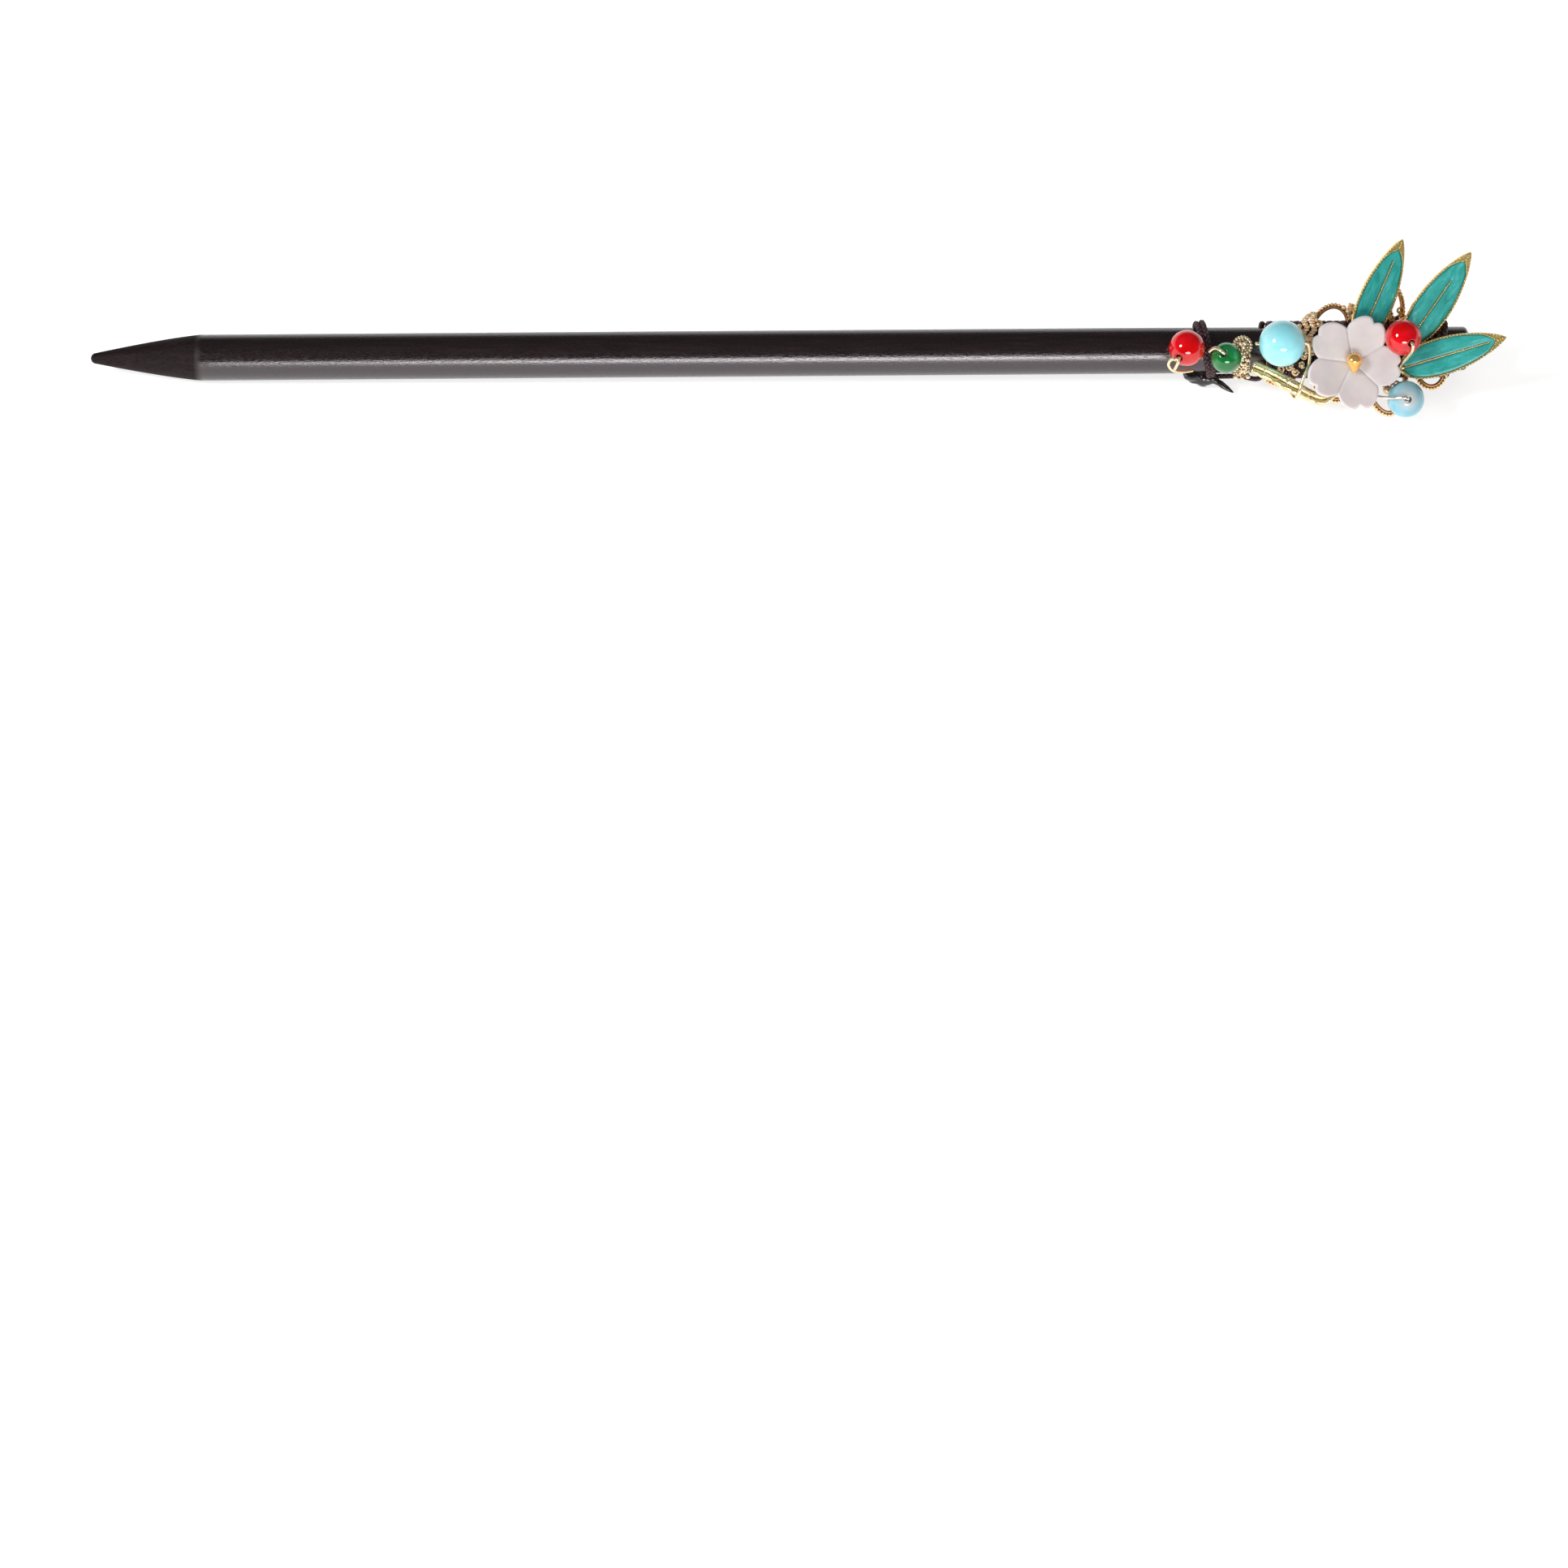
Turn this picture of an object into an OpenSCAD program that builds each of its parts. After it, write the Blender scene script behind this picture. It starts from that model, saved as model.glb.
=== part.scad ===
// Hair stick: a dark wooden stick with a filigree plate bound to its butt end by a thin
// cord, and on the plate three enamelled leaves, a five-petalled flower and five beads.
// Lengths are in millimetres and the part stands in the frame it rests in: X runs along
// the stick with its tip at -X, Z is up, and the origin is on the stick's axis halfway.
// The ornament is drawn face up, seen from +Z, and lie() then rolls the whole piece onto
// the plate's edge, the cord and the shoulder of the tip, as it settles on a table.

/* [Stick] */
// Whole length, tip to butt
stick_l = 180; // [150:1:220]
// Diameter of the straight shaft
stick_d = 6; // [5:0.1:7]
// Length of the cone at the tip
tip_l = 14.6; // [10:0.1:22]
// Diameter of the blunt end of the tip
tip_d = 1.44; // [1:0.02:2.4]
// How much thinner the butt end is than the shaft
butt_taper = 0.3; // [0:0.05:0.6]
// Length over which the shaft thins towards the butt
taper_l = 42.5; // [41:0.5:60]
// Rounding of the butt's edge
butt_round = 0.6; // [0.2:0.1:1.2]

/* [Binding cord] */
// Thickness of the cord
cord_d = 0.72; // [0.5:0.02:1]
// Spacing of the turns along the stick
cord_pitch = 0.88; // [0.8:0.02:1.2]
// Length of the stick covered by the turns
wrap_l = 24.7; // [18:0.1:26]
// Bare butt end beyond the turns
wrap_end = 2.5; // [1:0.1:6]
// Diameter of the thicker cord of the small band
band_cord_d = 0.84; // [0.6:0.02:1]
// Angle at which the band leans across the stick
band_lean = 12; // [0:1:20]

/* [Filigree plate] */
// Length along the stick
plate_l = 25; // [20:0.1:30]
// Width over the widest loops
plate_w = 17.5; // [14:0.1:22]
// Thickness of the plate
plate_t = 0.8; // [0.5:0.05:1.2]
// Width of the rope-like bands that form the loops
rope_w = 0.62; // [0.4:0.02:0.9]
// Diameter of the balls between the loops
ball_d = 1.15; // [0.8:0.05:1.6]

/* [Leaves] */
// Length of a leaf
leaf_l = 14.3; // [11:0.1:17]
// Width of a leaf
leaf_w = 4.9; // [3.5:0.1:5.6]
// Thickness at the middle of a leaf
leaf_t = 0.9; // [0.7:0.05:1.2]
// Width of the metal rim around the enamel
leaf_rim = 0.3; // [0.2:0.02:0.5]
// Depth of the enamelled cells
cell_deep = 0.35; // [0.2:0.01:0.45]

/* [Flower] */
// Diameter over the petals
flower_d = 12.1; // [10:0.1:12.4]
// Thickness of the petals
petal_t = 0.95; // [0.6:0.05:1.3]
// Radius of the shallow bowl that the petals form
flower_bowl = 26; // [18:1:60]
// Width of the drop at the heart of the flower
drop_d = 2.1; // [1.4:0.05:2.8]

/* [Beads and wire] */
// Diameter of the two red beads
red_d = 4.4; // [3.6:0.1:4.6]
// Diameter of the green bead
green_d = 4; // [3.2:0.1:4.6]
// Diameter of the turquoise bead
turquoise_d = 6; // [4.8:0.1:6.6]
// Diameter of the pale blue bead
blue_d = 4.6; // [3.6:0.1:5.2]
// Diameter of the hole through each bead
bead_bore_d = 0.9; // [0.7:0.05:1.2]
// Diameter of the wire that holds the beads
wire_d = 0.42; // [0.3:0.02:0.6]
// Thickness of the gold twig
twig_d = 1.5; // [0.8:0.05:1.8]
// Diameter of the rosette's dome
dome_d = 2.5; // [1.8:0.05:3]

/* [Hidden] */
$fn = 64;

// Gap left between pieces that touch on the real thing
fit = 0.05;

stick_r = stick_d / 2;
butt_x = stick_l / 2;
shoulder_x = tip_l - butt_x;

// Levels above the stick's axis: plate, cord over the plate
plate_low = stick_r + fit;
plate_top = plate_low + plate_t;
wrap_in_r = stick_r + fit;
wrap_in_top = plate_top + fit;
wrap_out_r = wrap_in_r + cord_d;
wrap_top = wrap_in_top + cord_d;
wrap_x1 = -wrap_end;
wrap_x0 = wrap_x1 - wrap_l;

// Radii of the beads, the wire and the flower
red_r = red_d / 2;
green_r = green_d / 2;
turquoise_r = turquoise_d / 2;
blue_r = blue_d / 2;
wire_r = wire_d / 2;
flower_r = flower_d / 2;

// Places along the stick, measured back from the butt end, each piece beside the last
band_gap = 7.5;
plate_x = wrap_x0 - 1.4;
band_x = wrap_x0 - band_gap;
rosette_x = wrap_x0 - 1.2 - dome_d / 2;
green_x = rosette_x - green_r - 0.3;
red_1_x = band_x - red_r - 0.36 * band_cord_d;
turquoise_x = rosette_x + dome_d / 2 + turquoise_r + 0.4;
flower_x = turquoise_x + turquoise_r + flower_r + 0.15;
red_2_x = flower_x + flower_r + 0.5;
blue_x = flower_x + flower_r + 0.95;

// The filigree's loops, a row each: the side they stand on, then where both feet and the
// top are as shares of the plate's length, and how far the top reaches out
LOOPS = [
    [-1, 0.05, 0.25, 0.15, 0.36],
    [-1, 0.28, 0.53, 0.45, 0.71],
    [-1, 0.57, 0.815, 0.72, 1.00],
    [-1, 0.845, 1.00, 0.92, 0.42],
    [1, 0.30, 0.52, 0.43, 0.55],
    [1, 0.545, 0.79, 0.72, 0.96],
    [1, 0.81, 1.00, 0.90, 0.45]];
// Balls and small rings of the filigree: side, share of length, share of reach
BALLS = [
    [-1, 0.48, 0.49],
    [-1, 0.635, 0.42],
    [-1, 0.71, 0.44],
    [1, 0.525, 0.45],
    [1, 0.71, 0.42]];
// Bars across the plate, as shares of its length
BARS = [0.09, 0.27, 0.45, 0.625, 0.8, 0.97];

rail_y = stick_r * 0.86;
plate_reach = plate_w / 2 - rail_y;
ring_d = 2.6 * rope_w;

// Leaves, a row each: how far the root is from the flower's heart as a share of the
// flower's radius, its place across as a share of the stick's radius, the gap over the
// cord, heading, rise towards the tip, and roll
LEAVES = [
    [0.165, 0.3, 0.25, 67.4, 3, 14],
    [1.19, 0.2, 0.15, 55.5, 4, 10],
    [1.025, -0.87, 0.2, 16.7, 12.5, 0]];

// The lead runs beside the stick, then slants over the turns at the back. Its rows hold the
// place along the stick, a share of the gap to the band before the turns (below 0) and of
// the turns' length over them, then the angle round the stick, and how far it has climbed
// onto the turns
LEAD = [
    [-0.65, -176, 0], [-0.32, -176, 0], [-0.12, -167, 0.55], [0.004, -155, 1],
    [0.04, -141, 1], [0.113, -121, 1], [0.235, -100, 1], [0.348, -80, 1],
    [0.462, -60, 1], [0.591, -40, 1], [0.713, -20, 1], [0.826, -12, 1],
    [0.915, -22, 1], [0.964, -42, 0.95]];
function lead_x(u) = wrap_x0 + u * (u < 0 ? band_gap : wrap_l);

// How it rests: on the shoulder of the tip, on the lead where it slants over the turns,
// and on the lower edge of the widest loop
lead_out_r = wrap_out_r + fit + cord_d;
rest_cord_x = butt_x + lead_x(LEAD[4][0]);
rest_loop_x = butt_x + plate_x + LOOPS[2][3] * plate_l;
lie_pitch = atan((lead_out_r - stick_r) / (rest_cord_x - shoulder_x));
rest_loop_down = stick_r + (rest_loop_x - shoulder_x) * tan(lie_pitch);
lie_roll = atan2(plate_low, plate_w / 2)
    + asin(rest_loop_down / norm([plate_low, plate_w / 2]));

function unit(v) = v / norm(v);
function mix(a, b, u) = a + (b - a) * u;

// Smooth curve through the points p, with k steps between two of them
function curve_at(a, b, c, d, u) = 0.5 * (2 * b + (c - a) * u
    + (2 * a - 5 * b + 4 * c - d) * u * u + (3 * b - a - 3 * c + d) * u * u * u);
function pick(p, i) = p[max(0, min(len(p) - 1, i))];
function smooth(p, k = 3) = concat(
    [for (i = [0 : len(p) - 2], j = [0 : k - 1])
        curve_at(pick(p, i - 1), p[i], p[i + 1], pick(p, i + 2), j / k)],
    [p[len(p) - 1]]);

// Directions along a route, and a side direction that turns as little as it can
function along(p, i) = unit(pick(p, i + 1) - pick(p, i - 1));
function side(t, last) = unit(last - (last * t) * t);
function sides_of(p, i, last) = i == len(p) ? []
    : let (s = side(along(p, i), last)) concat([s], sides_of(p, i + 1, s));
function start_side(t) = abs(t.z) < 0.8 ? cross(t, [0, 0, 1]) : cross(t, [1, 0, 0]);

// Round bar along the points p, with a radius for each point and n sides
module bar_along(p, radii, n = 8) {
    s = sides_of(p, 0, unit(start_side(along(p, 0))));
    ring = [for (i = [0 : len(p) - 1], j = [0 : n - 1])
        p[i] + radii[i] * (cos(360 * j / n) * s[i]
            + sin(360 * j / n) * cross(along(p, i), s[i]))];
    walls = [for (i = [0 : len(p) - 2], j = [0 : n - 1])
        [i * n + j, (i + 1) * n + j, (i + 1) * n + (j + 1) % n, i * n + (j + 1) % n]];
    last = (len(p) - 1) * n;
    polyhedron(ring, concat(walls, [[for (j = [0 : n - 1]) j]],
        [[for (j = [n - 1 : -1 : 0]) last + j]]));
}
module wire_along(p) {
    q = smooth(p);
    bar_along(q, [for (i = q) wire_r], 8);
}

// Frames: the whole piece as it rests, the ornament from the butt end, and a direction
module lie() rotate([0, -lie_pitch, 0]) rotate([lie_roll, 0, 0]) children();
module from_butt() lie() translate([butt_x, 0, 0]) children();
module aim(d) rotate([0, acos(d.z / norm(d)), atan2(d.y, d.x)]) children();
module across(x, w) translate([x, 0, 0]) rotate([90, 0, 90]) linear_extrude(w) children();

// Stick, turned about its axis
tip_r = tip_d / 2;
butt_r = stick_r - butt_taper / 2;
STICK_EDGE = concat(
    [for (a = [0 : 15 : 75]) [tip_r * sin(a), tip_r * (1 - cos(a))]],
    [[stick_r, tip_l], [stick_r, stick_l - taper_l]],
    [for (a = [0 : 15 : 90]) [butt_r - butt_round * (1 - cos(a)),
        stick_l - butt_round * (1 - sin(a))]],
    [[0, stick_l]]);
module stick() {
    color("#2a2322") lie() rotate([0, 90, 0]) translate([0, 0, -butt_x])
        rotate_extrude($fn = 96) polygon(STICK_EDGE);
}

// One loop of the filigree as a curved band, grown by g on both sides
function loop_curve(row, half, rise) = let (mid = (row[1] + row[2]) / 2)
    [for (a = [0 : 12 : 180]) [
        plate_x + mid * plate_l - half * cos(a) + (row[3] - mid) * plate_l * sin(a),
        row[0] * (rail_y + rise * sin(a))]];
module loop_band(row, g = 0) {
    half = (row[2] - row[1]) / 2 * plate_l;
    rise = row[4] * plate_reach;
    outer = loop_curve(row, half + g, rise + g);
    inner = loop_curve(row, half - rope_w - g, rise - rope_w - g);
    polygon(concat(outer, [for (i = [len(inner) - 1 : -1 : 0]) inner[i]]));
}
module loops(g = 0) {
    for (row = LOOPS) loop_band(row, g);
}
module filigree_flat() {
    loops();
    for (s = [-1, 1]) translate([plate_x, s * rail_y - rope_w / 2])
        square([plate_l, rope_w]);
    for (b = BARS) translate([plate_x + b * plate_l - rope_w / 2, -rail_y])
        square([rope_w, 2 * rail_y]);
    stems();
    // A small ring at the foot of each stem, outside the turns
    for (b = BALLS) translate([plate_x + b[1] * plate_l, b[0] * (wrap_out_r + ring_d / 2)])
        difference() {
            circle(d = ring_d, $fn = 32);
            circle(d = ring_d - 1.1 * rope_w, $fn = 32);
        }
}
// Stems that carry the balls, grown by g
module stems(g = 0) {
    for (b = BALLS) translate([plate_x + b[1] * plate_l, b[0] * rail_y])
        mirror([0, b[0] < 0 ? 1 : 0]) translate([-rope_w / 2 - g, 0])
            square([rope_w + 2 * g, b[2] * plate_reach]);
}
module filigree_plate() {
    bridge_x = plate_x + 0.29 * plate_l;
    bridge_y = wrap_out_r + fit * 2;
    bridge_w = rope_w * 1.3;
    color("#8a5f43") from_butt() {
        translate([0, 0, plate_low]) linear_extrude(plate_t) filigree_flat();
        for (b = BALLS)
            translate([plate_x + b[1] * plate_l, b[0] * (rail_y + b[2] * plate_reach),
                (plate_low + plate_top) / 2]) sphere(d = ball_d);
        // Granulated bar over the turns, beside the turquoise bead
        translate([bridge_x, 0.2, wrap_top + fit])
            cube([bridge_w, bridge_y + rope_w - 0.2, rope_w]);
        translate([bridge_x, bridge_y, plate_low])
            cube([bridge_w, rope_w, wrap_top + fit + rope_w - plate_low]);
    }
}

// Section of the turns: round the stick below, flat over the plate, g outside both
corner_r = 0.3;
module wrap_section(g) {
    r = wrap_in_r + g;
    top = wrap_in_top + g;
    c = corner_r + g;
    circle(r);
    translate([-r, 0]) square([2 * r, top - c]);
    translate([c - r, 0]) square([2 * (r - c), top]);
    for (s = [-1, 1]) translate([s * (r - c), top - c]) circle(c);
}
module cord_wrap() {
    turns = floor(wrap_l / cord_pitch);
    gap = wrap_l / turns;
    color("#3a2229") from_butt() difference() {
        union() {
            across(wrap_x0 + gap / 4, wrap_l - gap / 2) wrap_section(cord_d * 0.75);
            for (i = [0 : turns - 1])
                across(wrap_x0 + gap * (i + 0.1), gap * 0.8) wrap_section(cord_d);
        }
        across(wrap_x0 - 1, wrap_l + 2) wrap_section(0);
        // The plate's bands leave through the turns on both sides
        translate([0, 0, plate_low - fit]) linear_extrude(plate_t + 2 * fit) {
            loops(fit);
            stems(fit);
        }
    }
}

// Lead: from the knot along the stick, then slanting over the turns
module cord_lead() {
    low_r = stick_r + fit + cord_d / 2;
    high_r = wrap_out_r + 1.6 * fit + cord_d / 2;
    p = smooth([for (row = LEAD) let (r = mix(low_r, high_r, row[2]))
        [lead_x(row[0]), r * cos(row[1]), r * sin(row[1])]], 2);
    color("#3a2229") from_butt() bar_along(p, [for (i = p) cord_d / 2], 8);
}

// Band: two turns lying together, open where the knot sits
knot_y = stick_r * 0.88;
module cord_band() {
    ring_r = (stick_r + 2 * fit + band_cord_d / 2) / cos(band_lean);
    color("#3a2229") from_butt() difference() {
        translate([band_x, 0, 0]) rotate([0, 90, band_lean]) rotate_extrude($fn = 72)
            translate([ring_r, 0]) for (s = [-1, 1])
                translate([0, s * band_cord_d * 0.48]) circle(d = band_cord_d, $fn = 24);
        translate([band_x - 4, -knot_y - 4, -4]) cube([8, 4, 8]);
    }
}
// Knot: the band's ends melted into one lump, with two short tails, all in shares of the
// band cord's thickness. Rows hold the place and radius of a lump or of a point of a tail
LUMPS = [[-1.3, -0.83, -0.6, 1.13], [0.12, -1.07, -0.71, 1.43], [1.43, -1.13, -0.12, 1.07]];
TAILS = [
    [[0.95, -1.2, 0, 0.6], [2.26, -1.8, 0.36, 0.5], [3.7, -3, 0.48, 0.19]],
    [[-1.2, -0.83, 0, 0.83], [-2.26, -0.83, 0.48, 0.71], [-2.86, -0.48, 1.07, 0.36]]];
function place(row) = [row[0], row[1], row[2]];
module cord_knot() {
    reach = 6;
    color("#1d1418") from_butt() difference() {
        translate([band_x + 0.2, -knot_y - fit, 0]) scale(band_cord_d) intersection() {
            union() {
                for (i = [0 : len(LUMPS) - 2]) hull() for (row = [LUMPS[i], LUMPS[i + 1]])
                    translate(place(row)) sphere(row[3], $fn = 12);
                for (tail = TAILS)
                    bar_along([for (row = tail) place(row)], [for (row = tail) row[3]], 6);
            }
            translate([-reach, -2 * reach, -reach]) cube(2 * reach);
        }
        translate([band_x, 0, 0]) rotate([0, 90, 0])
            cylinder(r = stick_r + fit, h = 2 * reach, center = true);
    }
}

// Leaf: half its width at a share t of its length
function leaf_half(t) = leaf_w / 2 * sqrt(t) * pow(1 - t, 0.8) / 0.4206;
LEAF_STEPS = [for (a = [0 : 10 : 180]) (1 - cos(a)) / 2];
CELL_STEPS = [for (a = [0 : 12 : 180]) mix(0.05, 0.88, (1 - cos(a)) / 2)];
vein_w = 0.3;
module leaf_outline() {
    last = len(LEAF_STEPS) - 2;
    polygon(concat([[0, -0.3]], [for (i = [1 : last]) [LEAF_STEPS[i] * leaf_l,
        -leaf_half(LEAF_STEPS[i])]], [[leaf_l, 0]],
        [for (i = [last : -1 : 1]) [LEAF_STEPS[i] * leaf_l, leaf_half(LEAF_STEPS[i])]],
        [[0, 0.3]]));
}
// The two enamelled cells, drawn in by g
module cells(g) {
    low = vein_w / 2 + g;
    for (s = [-1, 1]) polygon(concat(
        [for (t = CELL_STEPS) [t * leaf_l, s * max(low + 0.01, leaf_half(t) - leaf_rim - g)]],
        [[CELL_STEPS[len(CELL_STEPS) - 1] * leaf_l - g, s * low],
            [CELL_STEPS[0] * leaf_l + g, s * low]]));
}
module place_leaf(row)
    translate([flower_x + row[0] * flower_r, row[1] * stick_r, wrap_top + leaf_t + row[2]])
    rotate([0, 0, row[3]]) rotate([0, -row[4], 0]) rotate([row[5], 0, 0]) children();
module leaf(row) {
    edge_t = leaf_t / 2;
    back_r = (pow(leaf_w / 2, 2) + pow(leaf_t - edge_t, 2)) / (2 * (leaf_t - edge_t));
    long_r = pow(leaf_l / 2, 2) / leaf_t;
    color("#c9a95a") from_butt() place_leaf(row) difference() {
        intersection() {
            translate([0, 0, -leaf_t]) linear_extrude(leaf_t) leaf_outline();
            translate([-1, 0, back_r - leaf_t]) rotate([0, 90, 0])
                cylinder(r = back_r, h = leaf_l + 2, $fn = 128);
            translate([leaf_l * 0.45, leaf_w, long_r - leaf_t]) rotate([90, 0, 0])
                cylinder(r = long_r, h = 2 * leaf_w, $fn = 256);
        }
        translate([0, 0, -cell_deep]) linear_extrude(1) cells(0);
    }
}
module enamel(row) {
    color("#35a9a3") from_butt() place_leaf(row) translate([0, 0, fit - cell_deep])
        linear_extrude(cell_deep - 2 * fit) cells(fit * 0.6);
}

// Flower: five notched petals, together a shallow bowl
flower_z = wrap_top + leaf_t + 0.95;
petal_r = flower_r * 0.415;
petal_turn = 64.5;
module petals_outline() {
    difference() {
        union() {
            circle(flower_r * 0.55);
            for (k = [0 : 4]) rotate(petal_turn + 72 * k)
                translate([flower_r - petal_r, 0]) circle(petal_r);
        }
        for (k = [0 : 4]) rotate(petal_turn + 72 * k)
            translate([flower_r + 0.08, 0]) rotate(45) square(0.9, center = true);
    }
}
module at_flower(z) translate([flower_x, -1.7, z]) children();
module flower() {
    color("#d9d0d1") from_butt() at_flower(flower_z) difference() {
        intersection() {
            linear_extrude(4) petals_outline();
            translate([0, 0, flower_bowl + petal_t]) sphere(flower_bowl + petal_t, $fn = 128);
        }
        translate([0, 0, flower_bowl + petal_t]) sphere(flower_bowl, $fn = 128);
        translate([0, 0, -1]) cylinder(d = bead_bore_d, h = 6);
    }
}
module flower_pin() {
    top = petal_t + fit;
    low = fit - (flower_z - wrap_top);
    color("#c8923c") from_butt() at_flower(flower_z) {
        translate([0, 0, low]) cylinder(r = wire_r, h = top - low + drop_d / 3);
        translate([0, drop_d * 0.25, top + drop_d * 0.36]) intersection() {
            union() {
                sphere(d = drop_d);
                rotate([90, 0, 0]) cylinder(d1 = drop_d * 0.96, d2 = 0.3, h = drop_d * 0.8);
            }
            translate([-drop_d, -drop_d, -drop_d * 0.33])
                cube([2 * drop_d, 2 * drop_d, drop_d]);
        }
    }
}

// Beads: where each sits, and the direction of its hole
on_stick = stick_r + fit;
red_1_at = [red_1_x, 0.3, on_stick + red_r + fit];
green_at = [green_x, -1, on_stick + green_r];
turquoise_at = [turquoise_x, 0.8, wrap_top + fit + turquoise_r];
red_2_at = [red_2_x, 1.55, wrap_top + leaf_t + red_r + 0.45];
blue_at = [blue_x, -(wrap_out_r + blue_r + 0.43), plate_top + fit + blue_r];
red_1_hole = [-0.5, -0.55, 0.67];
red_2_hole = [0.36, -0.34, 0.87];
green_hole = [-0.25, 0.3, 0.92];
turquoise_hole = [1, 0, 0.12];
blue_hole = [0, 0, 1];
module bead(at, r, hole) from_butt() translate(at) aim(hole) difference() {
    sphere(r);
    cylinder(d = bead_bore_d, h = 2 * r + 2, center = true);
}
module red_bead_1() color("#d00010") bead(red_1_at, red_r, red_1_hole);
module red_bead_2() color("#d00010") bead(red_2_at, red_r, red_2_hole);
module green_bead() color("#15702f") bead(green_at, green_r, green_hole);
module turquoise_bead() color("#85dbe8") bead(turquoise_at, turquoise_r, turquoise_hole);
module blue_bead() color("#8fcbe0") bead(blue_at, blue_r, blue_hole);

// Rosette: a dome on the front of the stick, and a rounded tail bent round its side
dome_turn = 80;
tail_turn = 82;
module rosette() {
    color("#c8b070") from_butt() translate([rosette_x, 0, 0]) rotate([dome_turn, 0, 0]) {
        translate([0, on_stick, 0]) rotate([-90, 0, 0]) intersection() {
            translate([0, 0, 0.2]) sphere(d = dome_d);
            cylinder(d = 2 * dome_d, h = dome_d);
        }
        rotate([90, 0, 90]) rotate_extrude(angle = tail_turn) intersection() {
            translate([on_stick + 0.4, 0.2]) circle(d = dome_d * 0.7);
            translate([on_stick, -dome_d]) square([dome_d, 2 * dome_d]);
        }
    }
}

// Twig: a thin bamboo-like bar laid over the turns and the plate. Its rows hold shares of
// the plate's length, of half its width, and of the twig's own thickness
TWIG = [[0.012, -0.26, 0.95], [0.1, -0.375, 1], [0.235, -0.585, 1], [0.315, -0.695, 0.95],
    [0.375, -0.735, 0.8], [0.464, -0.606, 0.3]];
function twig_at(row) = let (y = row[1] * plate_w / 2) [plate_x + row[0] * plate_l, y,
    abs(y) < wrap_out_r + twig_d ? wrap_top + twig_d / 2 + 0.25
    : plate_top + twig_d / 2 + fit];
module twig() {
    p = smooth([for (row = TWIG) twig_at(row)], 2);
    radii = smooth([for (row = TWIG) row[2] * twig_d / 2], 2);
    color("#d8cf86") from_butt() bar_along(p, radii, 10);
}

// Wires, in points from the bead they hold or from the butt end
function out(at, hole, d) = at + unit(hole) * d;
gold = "#e0cf9a";
module wire_red_1() {
    a = red_1_at;
    color(gold) from_butt() wire_along([out(a, red_1_hole, -1.2), out(a, red_1_hole, 0.8),
        out(a, red_1_hole, red_r + 0.25), a + [-1.9, -2.1, 0.9], a + [-1.7, -2.8, -0.3],
        a + [-0.6, -3.05, -1.2], a + [0.8, -3, -1.75]]);
}
module wire_green() {
    a = green_at;
    color(gold) from_butt() wire_along([out(a, green_hole, -1.2), out(a, green_hole, 0.9),
        out(a, green_hole, green_r + 0.25), a + [-1.5, 1.3, 1.5], a + [-2.2, 0.9, 0.6],
        a + [-2, 0.7, -0.8]]);
}
module wire_turquoise() {
    a = turquoise_at;
    r = turquoise_r;
    color(gold) from_butt() wire_along([a + [-r - 0.9, -0.2, -2.2], a + [-r - 0.75, 0, -1],
        a + [-r - 0.1, 0, -0.38], a + [0, 0, 0], a + [r + 0.1, 0, 0.37],
        a + [r + 0.9, -0.5, -0.3], a + [r + 1.1, -1.4, -2.4]]);
}
module wire_red_2() {
    a = red_2_at;
    color(gold) from_butt() wire_along([out(a, red_2_hole, -1.2), out(a, red_2_hole, 0.9),
        out(a, red_2_hole, red_r + 0.3), a + [0.95, -1.7, 1.6], a + [0.6, -2.5, 0.3],
        a + [0.05, -3.35, -0.9]]);
}
module wire_blue() {
    a = blue_at;
    color("#d8d4cc") from_butt() wire_along([a + [-5, 0.4, -1.6], a + [-4.2, 0.4, -0.2],
        a + [-3, 0.25, 0.9], a + [-1.7, 0.2, 2.05], a + [-0.55, 0.25, 2.65],
        a + [0, 0.05, 2.3], a + [0, 0, 1], a + [0, 0, -1]]);
}
// The twig's wire crosses over it, goes down beside it and runs back below the plate
module wire_twig() {
    a = twig_at(TWIG[2]);
    over = a.z + twig_d / 2 + wire_r;
    under = plate_low - wire_r - 0.25;
    color(gold) from_butt() wire_along([[a.x + 0.9, a.y + 2.6, over],
        [a.x + 0.5, a.y + 1.2, over], [a.x, a.y - 0.3, over],
        [a.x - 0.15, a.y - 1.15, over - 0.95], [a.x - 0.25, a.y - 1.1, under + 1.2],
        [a.x - 0.9, a.y + 0.1, under], [a.x - 2.2, a.y + 0.1, under],
        [a.x - 3.3, a.y + 0.35, under], [a.x - 3.9, a.y + 0.9, under]]);
}

stick();
filigree_plate();
cord_wrap();
cord_lead();
cord_band();
cord_knot();
leaf(LEAVES[0]);  // leaf_1
leaf(LEAVES[1]);  // leaf_2
leaf(LEAVES[2]);  // leaf_3
enamel(LEAVES[0]);  // enamel_1
enamel(LEAVES[1]);  // enamel_2
enamel(LEAVES[2]);  // enamel_3
flower();
flower_pin();
red_bead_1();
red_bead_2();
green_bead();
turquoise_bead();
blue_bead();
rosette();
twig();
wire_red_1();
wire_red_2();
wire_green();
wire_turquoise();
wire_blue();
wire_twig();
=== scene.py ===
import math
import random

import bmesh
import bpy
from mathutils import Matrix, Vector, noise


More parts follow.
